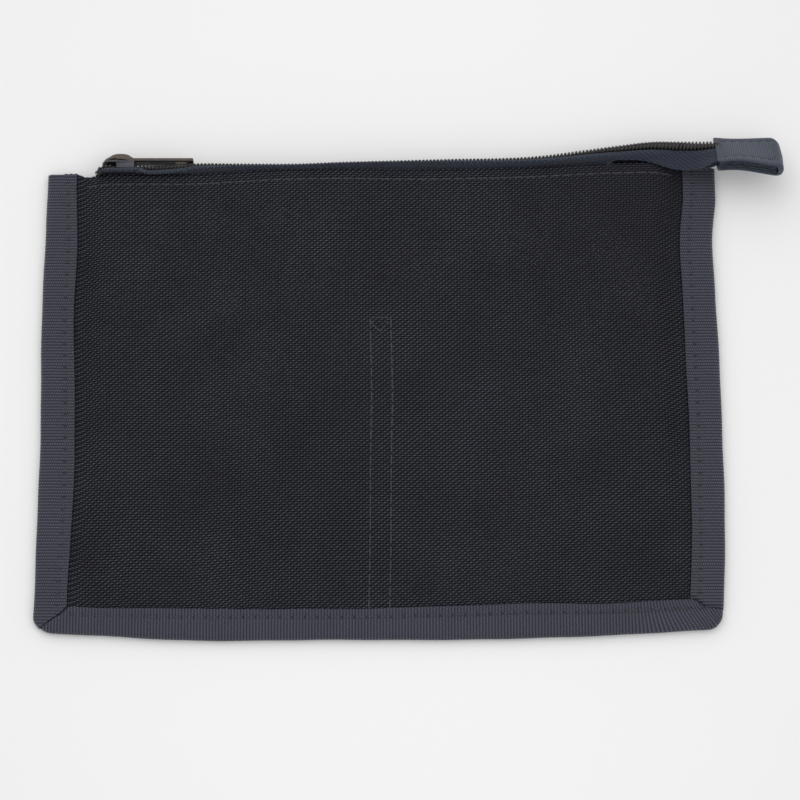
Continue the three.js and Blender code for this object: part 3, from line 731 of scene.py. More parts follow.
def fibre_group():
    """Uneven dye and fine fuzz: slow noise for patches and fast noise for single fibres."""
    nodes, given, out = new_group(
        "Fibre variation",
        [
            ("Place", "NodeSocketVector", None),
            ("Patches scale", "NodeSocketFloat", 120.0),
            ("Fuzz scale", "NodeSocketFloat", 2500.0),
        ],
        ["Patches", "Fuzz"],
    )
    for label, detail in (("Patches", 3.0), ("Fuzz", 2.0)):
        noise = nodes.add("ShaderNodeTexNoise")
        noise.inputs["Detail"].default_value = detail
        nodes.link(given.outputs["Place"], noise.inputs["Vector"])
        nodes.link(given.outputs[f"{label} scale"], noise.inputs["Scale"])
        nodes.link(noise.outputs["Fac"], out.inputs[label])
    return nodes.tree


GROUPS = {}


def place_group(nodes, name, maker, **values):
    """Places a shared group, made once, and sets its values; returns its outputs."""
    if name not in GROUPS:
        GROUPS[name] = maker()
    node = nodes.add("ShaderNodeGroup", node_tree=GROUPS[name])
    for label, value in values.items():
        socket = node.inputs[label.replace("_", " ").capitalize()]
        if isinstance(value, bpy.types.NodeSocket):
            nodes.link(value, socket)
        else:
            socket.default_value = value
    return node.outputs


def place_fibres(nodes, patches_scale, fuzz_scale):
    """Places the shared dye patches and fuzz on the object; returns the two masks."""
    values = {"place": nodes.place(), "patches_scale": patches_scale, "fuzz_scale": fuzz_scale}
    outputs = place_group(nodes, "Fibre variation", fibre_group, **values)
    return outputs["Patches"], outputs["Fuzz"]


def place_ribs(nodes, rib, yarn, slant):
    """Places the shared ribbed weave on the piece's pattern; returns its outputs."""
    values = {"pattern": nodes.pattern(), "rib_spacing": rib, "yarn_spacing": yarn, "slant": slant}
    return place_group(nodes, "Ribbed weave", rib_group, **values)


def new_material(name, roughness, specular, metallic=0.0, sheen=0.0):
    """An empty material with one shader; returns it with its nodes and the shader's inputs."""
    material = bpy.data.materials.new(name)
    material.use_nodes = True
    inputs = material.node_tree.nodes["Principled BSDF"].inputs
    inputs["Roughness"].default_value = roughness
    inputs["Specular IOR Level"].default_value = specular
    inputs["Metallic"].default_value = metallic
    inputs["Sheen Weight"].default_value = sheen
    inputs["Sheen Roughness"].default_value = 0.4
    return material, Nodes(material.node_tree), inputs


def add_bump(nodes, shader, height, distance):
    """Raises the surface by a height mask times a distance in metres."""
    bump = nodes.add("ShaderNodeBump")
    bump.inputs["Strength"].default_value = 1.0
    bump.inputs["Distance"].default_value = distance
    nodes.link(height, bump.inputs["Height"])
    nodes.link(bump.outputs["Normal"], shader["Normal"])


def shade(colour, share):
    """A colour made lighter or darker by a share."""
    return tuple(min(1.0, channel * share) for channel in colour)


def mesh_thread_material(colour, shade_colour):
    """Smooth dark nylon thread with painted light: level threads carry a painted highlight in short slanted
    arcs where they pass over; the rest has the dark shade colour, the threads' own colour with painted shade.

    The pattern's first coordinate counts crossings and is even at a crest; the second runs across the
    thread, and is two more on upright threads. Towards the upper right corner the painted highlights are half
    as
    clear and the painted shade paler: the mask is a ramp over the distance times one over the height.
    """
    material, nodes, shader = new_material("Mesh thread", roughness=0.5, specular=0.03)
    patches, fuzz = place_fibres(nodes, 60.0, 900.0)
    crossing, second = nodes.split(nodes.pattern())
    upright = nodes.maths("GREATER_THAN", second, 1.5)
    level = nodes.minus(1.0, upright)
    offset = nodes.minus(nodes.line(upright, -2.0, second), 0.5)
    leaning = nodes.maths("ADD", crossing, nodes.times(offset, level, HIGHLIGHT_LEAN))
    crest = nodes.line(nodes.maths("COSINE", nodes.times(leaning, np.pi)), 0.5, 0.5)
    roundness = nodes.minus(1.0, nodes.times(offset, offset, 3.0))
    # Painted highlight: a bright arc at each crest of a level thread, slanted and rounded across it
    painted_highlight = nodes.times(nodes.maths("POWER", crest, 2.2), roundness)
    # Painted light: towards the upper right corner the painted highlights fade to half and the painted shade
    # turns paler
    place_x, place_y = nodes.split(nodes.place())
    rightwards = nodes.clamp(nodes.line(place_x, 25.0, -0.75))
    upwards = nodes.clamp(nodes.line(place_y, 30.0, -0.6))
    faint = nodes.times(rightwards, upwards)
    shown = nodes.times(painted_highlight, nodes.line(faint, -0.5, 1.0), nodes.line(level, 0.8, 0.2))
    uneven = nodes.times(shown, nodes.line(fuzz, 1.2, 0.4))
    highlight_tone = nodes.blend(patches, shade(colour, 0.6), shade(colour, 1.4))
    ground = nodes.blend(faint, tuple(shade_colour), shade(shade_colour, 1.6))
    nodes.link(nodes.blend(uneven, ground, highlight_tone), shader["Base Color"])
    add_bump(nodes, shader, roundness, 0.00008)
    return material


def needle_holes(nodes):
    """Mask of the painted shade in the needle holes: a high power of a cosine along the tape times a parabola
    across it.
    """
    first, second = nodes.split(nodes.pattern())
    place = nodes.maths("ADD", first, HOLE_SHIFT)
    wave = nodes.maths("COSINE", nodes.times(place, 2 * np.pi / STITCH_SPACING))
    along = nodes.maths("POWER", nodes.maths("MAXIMUM", wave, 0.0), 9.0)
    off = nodes.times(nodes.minus(second, HOLE_LINE), 1.6)
    across = nodes.maths("MAXIMUM", nodes.minus(1.0, nodes.times(off, off)), 0.0)
    return nodes.times(along, across, 0.85)


def ribbed_material(name, colour, rib, yarn, depth, furrow_shade, slant=0.0, sheen=0.25, sewn=False):
    """Woven tape: ribs with painted shade in their furrows, uneven dye, fine fuzz and, where sewn, painted
    shade in the needle holes.
    """
    material, nodes, shader = new_material(name, roughness=0.8, specular=0.25, sheen=sheen)
    ribs = place_ribs(nodes, rib, yarn, slant)
    patches, fuzz = place_fibres(nodes, 70.0, 2200.0)
    dyed = nodes.blend(patches, shade(colour, 0.88), shade(colour, 1.14))
    # Painted shade in the furrows between the ribs, as deep as the furrow shade share
    furrow_shaded = nodes.blend(ribs["Height"], shade(colour, 1 - furrow_shade), dyed)
    cloth = nodes.blend(nodes.times(fuzz, 0.3), furrow_shaded, shade(colour, 1.3))
    # Painted shade in the needle holes
    if sewn:
        cloth = nodes.blend(needle_holes(nodes), cloth, shade(colour, 0.12))
    nodes.link(cloth, shader["Base Color"])
    add_bump(nodes, shader, nodes.line(fuzz, 0.25, ribs["Height"]), depth)
    return material


def thread_material(name, colour):
    """Twisted sewing thread: slanted plies along each stitch, with painted shade between the plies."""
    material, nodes, shader = new_material(name, roughness=0.6, specular=0.35, sheen=0.2)
    ridge = place_ribs(nodes, 0.35, 5.0, 0.8)["Ridge"]
    patches = place_fibres(nodes, 150.0, 3000.0)[0]
    dyed = nodes.blend(patches, shade(colour, 0.8), shade(colour, 1.2))
    # Painted shade between the plies
    nodes.link(nodes.blend(ridge, shade(colour, 0.55), dyed), shader["Base Color"])
    add_bump(nodes, shader, ridge, 0.00008)
    return material


def coil_material(colour):
    """Nylon wire: glossy, faintly cloudy, duller where it has rubbed."""
    material, nodes, shader = new_material("Nylon coil", roughness=0.34, specular=0.5)
    patches, fuzz = place_fibres(nodes, 200.0, 1500.0)
    nodes.link(nodes.blend(patches, shade(colour, 0.7), shade(colour, 1.35)), shader["Base Color"])
    nodes.link(nodes.line(fuzz, 0.3, 0.25), shader["Roughness"])
    add_bump(nodes, shader, fuzz, 0.00002)
    return material


def metal_material(name, colour, shade_below):
    """Dark plated metal: worn paler in patches, with fine grain, and painted shade on the side that lies on
    the zip.

    The painted shade is where the distance from the pouch's middle is under a limit.
    """
    material, nodes, shader = new_material(name, roughness=0.35, metallic=0.75, specular=0.5)
    patches, fuzz = place_fibres(nodes, 450.0, 4000.0)
    underside_shade = nodes.maths("LESS_THAN", nodes.split(nodes.place())[1], shade_below * MM)
    plating = nodes.blend(patches, shade(colour, 0.65), shade(colour, 1.5))
    # Painted shade on the side that lies on the zip
    nodes.link(nodes.blend(underside_shade, plating, shade(colour, UNDERSIDE_SHADE)), shader["Base Color"])
    nodes.link(nodes.line(patches, 0.3, 0.2), shader["Roughness"])
    add_bump(nodes, shader, fuzz, 0.00003)
    return material


def floor_material(colour):
    """Matt pale floor with a very faint unevenness, and painted shade that makes it a little darker away from
    its middle.
    """
    material, nodes, shader = new_material("Pale floor", roughness=0.9, specular=0.1)
    patches = place_fibres(nodes, 3.0, 60.0)[0]
    x, y = nodes.split(nodes.place())
    beside = nodes.times(x, x, 14.0)
    above = nodes.times(y, nodes.maths("ADD", y, 0.05), 5.0)
    # Painted fall-off of light away from the middle
    away = nodes.maths("MINIMUM", nodes.maths("ADD", beside, above), 0.5)
    even = nodes.blend(patches, shade(colour, 0.99), shade(colour, 1.01))
    nodes.link(nodes.blend(away, even, shade(colour, 0.82)), shader["Base Color"])
    return material


# Mesh walls


def straight_wall(height, top):
    """A wall that ends at its top edge: distance is measured down from it, and the normal is upright."""

    def surface(x, below):
        y = top(x) - below
        return stack(x, y, height(x, y) + rumple(x, y)), stack(0 * x, 0 * y, 1)

    return surface


def folded_wall(height, top, side):
    """A wall whose top is folded in: past its edge the cloth turns round a half circle and runs down inside.

    Side is 1 for the front wall, which is uneven, and -1 for the back wall, which lies flat.
    """

    def surface(x, below):
        turned = np.clip(-below / HEM_FOLD_RADIUS, 0, np.pi)
        past = np.maximum(-below - np.pi * HEM_FOLD_RADIUS, 0)
        y = top(x) - np.maximum(below, 0) - past + HEM_FOLD_RADIUS * np.sin(turned)
        loose = rumple(x, y) if side > 0 else 0
        z = height(x, y) + loose - side * HEM_FOLD_RADIUS * (1 - np.cos(turned))
        return stack(x, y, z), stack(0 * x, np.sin(turned), side * np.cos(turned))

    return surface


def weave(name, surface, columns, rows, settings, last, lean):
    """Plain weave of flat threads on a surface(x, distance below the top).

    Columns and rows are the numbers of the upright and level threads. Each thread is a ribbon with two
    points at every crossing, and goes over and under by turns: where the sum of the two numbers is even, the
    level thread is above the surface and the upright thread below it. Upright threads lean by a share of
    their length, and the last of them is left to the next zone unless told otherwise.
    """
    column, row = np.meshgrid(columns, rows, indexing="ij")
    sign = np.where((column + row) % 2 == 0, 1.0, -1.0)[..., None]
    below = (row * (settings.level_spacing / MM))[..., None]
    plumb = (column * (settings.upright_spacing / MM))[..., None]
    x = plumb + lean * below * smooth((INNER_HALF - np.abs(plumb)) / 30)
    edge = np.array([-1.0, 1.0])
    upright, normal = surface(x + edge * settings.upright_width / MM / 2, below + 0 * edge)
    upright = upright - normal * UPRIGHT_CRIMP * sign[..., None]
    level, normal = surface(x + 0 * edge, below + edge * settings.level_width / MM / 2)
    level = level + normal * LEVEL_CRIMP * sign[..., None]
    shown = upright if last else upright[:-1]
    phase = (column + row)[..., None]
    threads = [
        (shown, phase[: len(shown)] + 1, 2),
        (level.transpose(1, 0, 2, 3), phase.transpose(1, 0, 2), 0),
    ]
    points, faces, patterns, start = [], [], [], 0
    for ribbon, crossing, kind in threads:
        lines, crossings = ribbon.shape[:2]
        index = start + np.arange(lines * crossings * 2).reshape(lines, crossings, 2)
        quad = np.stack([index[:, :-1, 0], index[:, :-1, 1], index[:, 1:, 1], index[:, 1:, 0]], axis=-1)
        faces.append(quad.reshape(-1, 4)[:, ::-1] if kind else quad.reshape(-1, 4))
        points.append(ribbon.reshape(-1, 3))
        patterns.append(stack(crossing, kind + np.array([0, 1])).reshape(-1, 2))
        start += lines * crossings * 2
    return make_piece(name, settled(np.concatenate(points)), np.concatenate(faces), np.concatenate(patterns))


def wall_columns(settings, low, high):
    """Numbers of the upright threads between two distances from the middle."""
    spacing = settings.upright_spacing / MM
    return np.arange(round(low / spacing), round(high / spacing) + 1)


def wall_rows(settings, past, bottom):
    """Numbers of the level threads, from past the fold to the bottom seam."""
    spacing = settings.level_spacing / MM
    return np.arange(-int(past / spacing), int(bottom / spacing) + 1)


def zone_stops(low, high):
    """Where the three zones of the front start and end, for a piece that runs from low to high."""
    return {"left": (low, -ZONE_HALF), "middle": (-ZONE_HALF, ZONE_HALF), "right": (ZONE_HALF, high)}


def bend_front(piece):
    """Bakes a zone of the front's placement into its mesh, so that it sits at the origin.
    """
    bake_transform(piece)


def declare_cloth(top):
    """Makes a list of the tapes that a zone of a wall is sewn to, and does nothing more with them."""
    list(top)


class POUCH_OT_mesh_walls(bpy.types.Operator):
    """Weave the back wall, the front wall and the pocket layer behind it"""

    bl_idname = "pouch.mesh_walls"
    bl_label = "Mesh walls"

    def execute(self, context):
        settings = context.scene.pouch_cloth
        material = mesh_thread_material(settings.colour, settings.shade_colour)
        depth = 2 * TOP - HEM_DROP - SEAM_DEPTH
        pocket_depth = POCKET_TOP + TOP - SEAM_DEPTH
        front = folded_wall(front_z, front_hem, 1)
        pocket = straight_wall(pocket_z, pocket_edge)
        back = folded_wall(back_z, hem_edge, -1)
        # Its name, its node, its surface, the cloth past its top and below it, its threads' lean, its tape
        walls = (
            ("front", "front_mesh_panel", front, HEM_FOLD_DEPTH, depth, 0.0, ["front_zipper_tape"]),
            ("pocket", "inner_pocket_panel", pocket, 0, pocket_depth, POCKET_LEAN, []),
            ("back", "back_mesh_panel", back, HEM_FOLD_DEPTH, depth, BACK_LEAN, ["back_zipper_tape"]),
        )
        for zone, (low, high) in zone_stops(-SEAM_REACH, SEAM_REACH).items():
            columns = wall_columns(settings, low, high)
            last = zone == "right"
            for wall, node, surface, folded, below, lean, tape in walls:
                rows = wall_rows(settings, folded, below)
                piece = weave(f"{wall}_mesh_{zone}", surface, columns, rows, settings, last, lean)
                finish_piece(piece, material, "root" if wall == "back" else None, [node])
                if wall != "back":
                    bend_front(piece)
                declare_cloth(tape)
        return {"FINISHED"}


# Binding tape


def binding_section():
    """The folded tape's outer and inner lines as [distance from the outer edge, height].

    From the inner edge on top, out to a round fold and back underneath; the inner line runs one tape
    thickness inside it.
    """
    fold = BINDING_DEPTH / 2
    turn = np.linspace(np.pi / 2, 3 * np.pi / 2, 9)
    flat = np.linspace(BINDING_WIDTH, fold, 16, endpoint=False)

    def line(inset):
        radius = fold - inset
        nose = stack(fold + radius * np.cos(turn), fold + radius * np.sin(turn))
        return np.concatenate([stack(flat, BINDING_DEPTH - inset), nose, stack(flat[::-1], inset)])

    return line(0), line(BINDING_FOLD)


def binding_piece(name, place, length, axis, rib, fan):
    """A folded tape carried along place(share along, distance from the outer edge, height).

    Ribs cross it at equal steps along the axis, as a cosine, and lean outwards by fan(place along) of the
    distance from the inner edge. The stitch line is drawn down by a bell curve, most at each needle hole,
    by a cubed cosine; outside it the tape is puffed by half a sine, and slow sines let both edges wander.
    """
    outer, inner = binding_section()
    share = np.linspace(0, 1, round(4 * length / rib))[:, None]

    def body(line, relief):
        distance, height = line[None, :, 0], line[None, :, 1]
        along = place(share, distance, height)[..., axis]
        hole = 0.5 + 0.5 * np.cos(2 * np.pi * along / STITCH_SPACING)
        groove = np.exp(-(((distance - BINDING_STITCH) / GROOVE_HALF) ** 2))
        pull = groove * (GROOVE_DEPTH + HOLE_DEPTH * hole**3)
        uneven = 0.7 + 0.3 * np.sin(along / 5.3)
        puff = BINDING_PUFF * np.sin(np.pi * np.clip(distance / BINDING_STITCH, 0, 1)) * uneven
        up = np.where(height > BINDING_DEPTH / 2, 1, 0)
        wander = 0.16 * np.sin(along / 7.1) * np.sin(along / 17 + 1) * (distance / BINDING_WIDTH) ** 3
        edge = 0.1 * np.sin(along / 4.3 + 1) * np.sin(along / 11) * (1 - distance / BINDING_WIDTH) ** 2
        ridge = relief * np.cos(2 * np.pi * (along - fan(along) * (BINDING_WIDTH - distance)) / rib)
        nose = np.clip(1 - distance / BINDING_DEPTH, 0, 1)
        raised = height + up * (puff - pull + (1 - nose) * ridge)
        return place(share, distance + wander + edge - nose * ridge, raised)

    surface = body(outer, RIB_RELIEF)
    across = np.linspace(0, 2 * BINDING_WIDTH, len(outer))[None, :]
    along = place(share, outer[None, :, 0], outer[None, :, 1])[..., axis]
    leaned = fan(along) * (BINDING_WIDTH - outer[None, :, 0])
    return slab(name, surface, body(inner, 0), stack(surface[..., axis] - leaned - rib / 2, across))


MITRE_CORNER = bottom_inner(INNER_HALF)


def right_fold(x):
    """How far the right tape's lower end drops below the mitre's corner, at a distance from the middle."""
    return RIGHT_FOLD_DROP * smooth((x - INNER_HALF) / RIGHT_FOLD_RUN)


def side_place(side, top):
    """Where a side tape lies: straight down to its end, slanted on the left, tucked on the right."""

    def place(share, distance, height):
        drop = right_fold(HALF_WIDTH - distance) if side > 0 else BINDING_WIDTH - distance
        low = MITRE_CORNER - drop + MITRE_GAP * distance / BINDING_WIDTH
        y = mix(top, low, share)
        tucked = RIGHT_TUCK * smooth((low + FOLD_SHADE - y) / FOLD_SHADE) if side > 0 else 0
        return settled(round_corner(stack(side * (HALF_WIDTH - distance), y, height * (1 - tucked))))

    return place


def bottom_place(share, distance, height):
    """Where the bottom tape lies: along the bottom edge between the side tapes' ends.

    It is tucked at the left mitre, and folded shut where it covers the right corner.
    """
    left = -INNER_HALF - (BINDING_WIDTH - distance) + BOTTOM_GAP * distance / BINDING_WIDTH
    last = HALF_WIDTH - CORNER_GAP
    ends = np.linspace(INNER_HALF, INNER_HALF + RIGHT_FOLD_RUN, 40)
    drops = np.append(right_fold(ends), RIGHT_FOLD_DROP + 0.2)
    right = np.interp(BINDING_WIDTH - distance, drops, np.append(ends, last))
    x = mix(left, right, share)
    fold = BINDING_DEPTH / 2
    past = np.clip((x - (last - fold)) / fold, 0, 0.995)
    z = fold + (height - fold) * np.sqrt(1 - past**2)
    tucked = LEFT_TUCK * smooth((left + FOLD_SHADE - x) / FOLD_SHADE)
    return settled(round_corner(stack(x, bottom_edge(x) + distance, z * (1 - tucked))))


def straight(along):
    """Ribs that lie square to the tape."""
    return 0 * along


def fanned(along):
    """Ribs that lean outwards towards the right corner."""
    return RIB_FAN * smooth((along - FAN_START) / FAN_RUN)


def binding_runs():
    """Each binding tape's place, its length, the axis that it runs along and how its ribs lean."""
    right_top = TOP + RIGHT_CORNER_RAISE
    return {
        "left_binding": (side_place(-1, TOP), 2 * TOP, 1, straight),
        "right_binding": (side_place(1, right_top), TOP + right_top, 1, straight),
        "bottom_binding": (bottom_place, 2 * HALF_WIDTH, 0, fanned),
    }


class POUCH_OT_binding(bpy.types.Operator):
    """Fold the ribbed tape round the left, right and bottom edges"""

    bl_idname = "pouch.binding"
    bl_label = "Binding tape"

    def execute(self, context):
        settings = context.scene.pouch_tape
        rib = settings.rib_spacing / MM
        colour = settings.binding_colour
        material = ribbed_material("Binding tape", colour, rib, 0.58, 0.0002, furrow_shade=0.95, sewn=True)
        for node, (place, length, axis, fan) in binding_runs().items():
            piece = binding_piece(f"{node}_tape", place, length, axis, rib, fan)
            finish_piece(piece, material, "root", [node])
        return {"FINISHED"}


# Zip tapes


def at_tail(x):
    """Where the coils stand out of the tapes towards the tail, from 0 to 1."""
    return smooth((x - AT_TAIL_START) / 30)


def under_pull(x):
    """Where the coils lie low in front of the slider's pull, from 0 to 1."""
    return smooth((x - UNDER_PULL[0]) / 3) * smooth((UNDER_PULL[1] - x) / 4)


def along_zip(x, plain, tail, low):
    """A measure that is plain along the zip, and another at the tail and low in front of the pull."""
    return mix(mix(plain, tail, at_tail(x)), low, under_pull(x))


def beside_coil(x, side, pinch, last_fall):
    """The tape's upper points: one under the coil and three down beside it, wider where the slider is."""
    apart = parted(x)
    wide = smooth((SLIDER_REACH - np.abs(x - SLIDER_X)) / 2.5)
    under = along_zip(x, *TAPE_UNDER)
    points = [zip_point(x, under, side * (TAPE_START * pinch + apart))]
    for fall, plain, spread in ((0, 1.9, 3.3), (0.4, 2.4, 3.95), (last_fall, 2.6, 4.1)):
        across = side * (pinch * mix(plain, spread, wide) + apart * (1 - wide))
        points.append(zip_point(x, under - fall, across))
    return points


def behind_hem(x, side, pinch, hem, highest):
    """The tape's two lower points: inside the hem, and out of it near the right corner, hanging free."""
    height = front_z if side > 0 else back_z
    offset = -side * (WALL_THICKNESS / 2 + HEM_GAP + TAPE_THICKNESS / 2)
    retract = smooth((x - HEM_EXIT) / 8)
    lift = smooth((x - LIFT_START) / 8)
    drop = smooth((x - TAIL_X) / 7)
    tail = smooth((x - TAIL_X) / 8)
    depth = FREE_DEPTH if side > 0 else mix(BACK_DEPTH, FREE_DEPTH, tail)
    free_across = side * pinch * mix(2.6 if side > 0 else 2, 1.5, tail)
    droop = (3.2 if side > 0 else 0) * smooth((x - DROOP_START) / 14)
    lip = np.minimum(hem + 0.35 + 1.05 * retract, highest)
    held = [lip - 0.5 * droop, mix(hem - TAPE_BEHIND_HEM, hem + 0.9, retract) - droop]
    free = [zip_point(x, -0.68 * depth, free_across), zip_point(x, -depth, free_across)]
    points = []
    for held_y, loose in zip(held, free):
        held_z = height(x, held_y) + rumple(x, held_y) * (1 - lift) + offset
        points.append(stack(x, mix(held_y, loose[..., 1], drop), mix(held_z, loose[..., 2], lift)))
    return points


def tape_section(x, side):
    """The tape's section at each x, as six points from the coil down to the hanging edge."""
    hem = front_hem(x) if side > 0 else hem_edge(x)
    chain = TOP + zip_height(x)
    last_fall = np.clip(chain - hem - 0.8, 0.3, 1.15)
    pinch = mix(1, 0.4, smooth((x - PINCH_START) / 10))
    upper = beside_coil(x, side, pinch, last_fall)
    return np.stack(upper + behind_hem(x, side, pinch, hem, chain - 0.5 - last_fall), axis=1)


def spline_rows(section, rows):
    """A smooth curve through the section's points: cubic cells whose ends lean along their neighbours."""
    before = 2 * section[:, :1] - section[:, 1:2]
    after = 2 * section[:, -1:] - section[:, -2:-1]
    points = np.concatenate([before, section, after], axis=1)
    share = np.linspace(0, section.shape[1] - 1, rows)
    cell = np.clip(share.astype(int), 0, section.shape[1] - 2)
    t = (share - cell)[None, :, None]
    a, b, c, d = (points[:, cell + step] for step in range(4))
    return 0.5 * (2 * b + (c - a) * t + (2 * a - 5 * b + 4 * c - d) * t**2 + (3 * b - a - 3 * c + d) * t**3)


def tape_piece(name, low, high, side):
    """A zip tape between two places along the zip."""
    x = np.linspace(low, high, int((high - low) / 0.9) + 2)
    middle = spline_rows(tape_section(x, side), 31)
    lengths = np.linalg.norm(np.diff(middle, axis=1), axis=-1).cumsum(axis=1)
    across = np.concatenate([np.zeros((len(x), 1)), lengths], axis=1)
    normal = normals_of(middle) * TAPE_THICKNESS / 2
    return slab(name, middle + normal, middle - normal, stack(x[:, None], across))


def bend_tail(piece):
    """Bakes a piece of the free tail's placement into its mesh, so that it sits at the origin."""
    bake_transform(piece)


def make_run(maker, material, names, nodes, low, end):
    """Makes the front, back and tail pieces of the tapes or the coils, from their left end to the tail's.

    The maker takes a name, two places along the zip and a side. Names and nodes are for the front, back and
    tail.
    """
    front_name, back_name, tail_name = names
    front_node, back_node, tail_node = nodes
    for zone, (first, last) in zone_stops(low, TAIL_X).items():
        piece = maker(front_name.format(zone), first, last, SIDES["front"])
        finish_piece(piece, material, None, [front_node])
        bend_front(piece)
    finish_piece(maker(back_name, low, TAIL_X, SIDES["back"]), material, "root", [back_node])
    for label, side in SIDES.items():
        piece = maker(tail_name.format(label), TAIL_X, end, side)
        finish_piece(piece, material, None, [tail_node.format(label)])
        bend_tail(piece)


class POUCH_OT_zip_tapes(bpy.types.Operator):
    """Hang the two woven zip tapes from the coils into the hems"""

    bl_idname = "pouch.zip_tapes"
    bl_label = "Zip tapes"

    def execute(self, context):
        colour = context.scene.pouch_tape.zip_tape_colour
        material = ribbed_material("Zip tape", colour, 0.82, 0.6, 0.0003, furrow_shade=1.0, slant=1.3, sheen=0.1)
        names = ("front_tape_{}", "back_tape", "tail_{}_tape_cloth")
        nodes = ("front_zipper_tape", "back_zipper_tape", "tail_{}_tape")
        make_run(tape_piece, material, names, nodes, TAPE_LEFT, TAIL_END)
        return {"FINISHED"}


# Coils


def coil_wire(first, last, side, spacing, radius):
    """The wire of a coil: points of its rings, pattern places and the number of rings.

    Round each turn it goes across by a cosine and out by a sine, and leans along the zip as it goes out; the
    front coil's turns are half a tooth behind the back coil's.
    """
    samples = 14
    turn = np.arange((last - first) * samples + 1) / samples + first
    angle = 2 * np.pi * turn
    x = (turn + (0.5 if side > 0 else 0)) * spacing
    x = x + 0.5 * spacing * np.sin(angle)
    apart = parted(x)
    full = smooth((x - FULL_COIL_START) / 30)
    centre = along_zip(x, mix(CORE_OUT, 0.5, full), 0.1, 0.0)
    height = along_zip(x, mix(0.5, 0.72, full), 1.05, 0.52)
    wire = zip_point(x, centre + height * np.sin(angle), side * (COIL_REACH - np.cos(angle) + apart))
    heart = zip_point(x, CORE_OUT, side * (CORE_ACROSS + apart))
    along = np.gradient(wire, axis=0)
    along /= np.linalg.norm(along, axis=-1, keepdims=True)
    away = wire - heart
    away -= (away * along).sum(axis=-1, keepdims=True) * along
    away /= np.linalg.norm(away, axis=-1, keepdims=True)
    beside = np.cross(along, away)
    circle = np.cos(RING)[None, :, None] * away[:, None] + np.sin(RING)[None, :, None] * beside[:, None]
    return wire[:, None] + radius * circle, stack(turn[:, None] * 4, RING * radius), len(turn)


def coil_core(first, last, side, spacing, radius):
    """The cord that a coil is wound on: points of its rings, pattern places and the number of rings."""
    x = np.arange(first, last + 1)[:, None] * spacing
    centre, height = along_zip(x, CORE_OUT, 0.1, 0.12), along_zip(x, 0.3, 0.75, 0.66)
    across = side * (CORE_ACROSS + CORE_HALF * np.cos(RING) + parted(x))
    return zip_point(x, centre + height * np.sin(RING), across), stack(x, RING * radius), len(x)


def coil_piece(name, low, high, side, settings):
    """One coil of the zip: wire carried along a flattened helix, and the cord that it is wound on."""
    spacing, radius = settings.tooth_spacing / MM, settings.wire_radius / MM
    span = round(low / spacing), round(high / spacing)
    wire, wire_pattern, turns = coil_wire(*span, side, spacing, radius)
    core, core_pattern, rings = coil_core(*span, side, spacing, radius)
    points = np.concatenate([wire.reshape(-1, 3), core.reshape(-1, 3)])
    pattern = np.concatenate([wire_pattern.reshape(-1, 2), core_pattern.reshape(-1, 2)])
    faces = np.concatenate([rod_faces(turns), rod_faces(rings) + turns * len(RING)])
    return turn_outwards(make_piece(name, points, faces, pattern))


class POUCH_OT_coils(bpy.types.Operator):
    """Wind the two interlocking nylon coils of the zip"""

    bl_idname = "pouch.coils"
    bl_label = "Coils"

    def execute(self, context):
        settings = context.scene.pouch_zip
        material = coil_material(settings.coil_colour)

        def wind(name, low, high, side):
            return coil_piece(name, low, high, side, settings)

        names = ("front_coil_{}", "back_coil_wire", "tail_{}_coil_wire")
        nodes = ("front_coil", "back_coil", "tail_{}_coil")
        make_run(wind, material, names, nodes, COIL_LEFT, TAB_X + 1.0)
        return {"FINISHED"}


# Slider


def sunk(x, y):
    """The whole piece a little nearer to the pouch."""
    return x, y - SLIDER_SINK


def stretched(x, y):
    """A little longer; the outer face stays and all below it reaches nearer to the pouch."""
    return mix(x.min(), x, CROWN_STRETCH), y - SLIDER_SINK * smooth((y.max() - y) / 0.5)


def cranked(x, y):
    """Thinner, and with a crank beside the pivot that brings the long part nearer to the pouch."""
    crank = smooth((x - CRANK_X[0]) / (CRANK_X[-1] - CRANK_X[0]))
    return x, mix(y.min(), y, PULL_SHARE) - CRANK_DROP * crank


def softened_copy(node, name, width, shape, cuts=()):
    """A copy of a CAD node with its edges bevelled.

    Its doubled corners are merged, it is cut across at some places, and shape(x, y) moves its points along
    the zip and away from the pouch.
    """
    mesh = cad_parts[node].data.copy()
    mesh.name = name
    shell = bmesh.new()
    shell.from_mesh(mesh)
    bmesh.ops.remove_doubles(shell, verts=shell.verts, dist=0.00001)
    bmesh.ops.dissolve_limit(shell, angle_limit=0.03, verts=shell.verts, edges=shell.edges)
    for x in cuts:
        parts = [*shell.verts, *shell.edges, *shell.faces]
        bmesh.ops.bisect_plane(shell, geom=parts, plane_co=(x * MM, 0, 0), plane_no=(1, 0, 0))
    shell.to_mesh(mesh)
    shell.free()
    places = np.empty(len(mesh.vertices) * 3, dtype=np.float32)
    mesh.vertices.foreach_get("co", places)
    points = places.reshape(-1, 3) / MM
    points[:, 0], points[:, 1] = shape(points[:, 0].copy(), points[:, 1].copy())
    mesh.vertices.foreach_set("co", (points * MM).astype(np.float32).ravel())
    piece = place_mesh(name, mesh)
    bevel = piece.modifiers.new("Soft edges", "BEVEL")
    bevel.width = width * MM
    bevel.segments = 3
    bevel.limit_method = "ANGLE"
    bevel.angle_limit = np.radians(35)
    bevel.harden_normals = True
    return piece


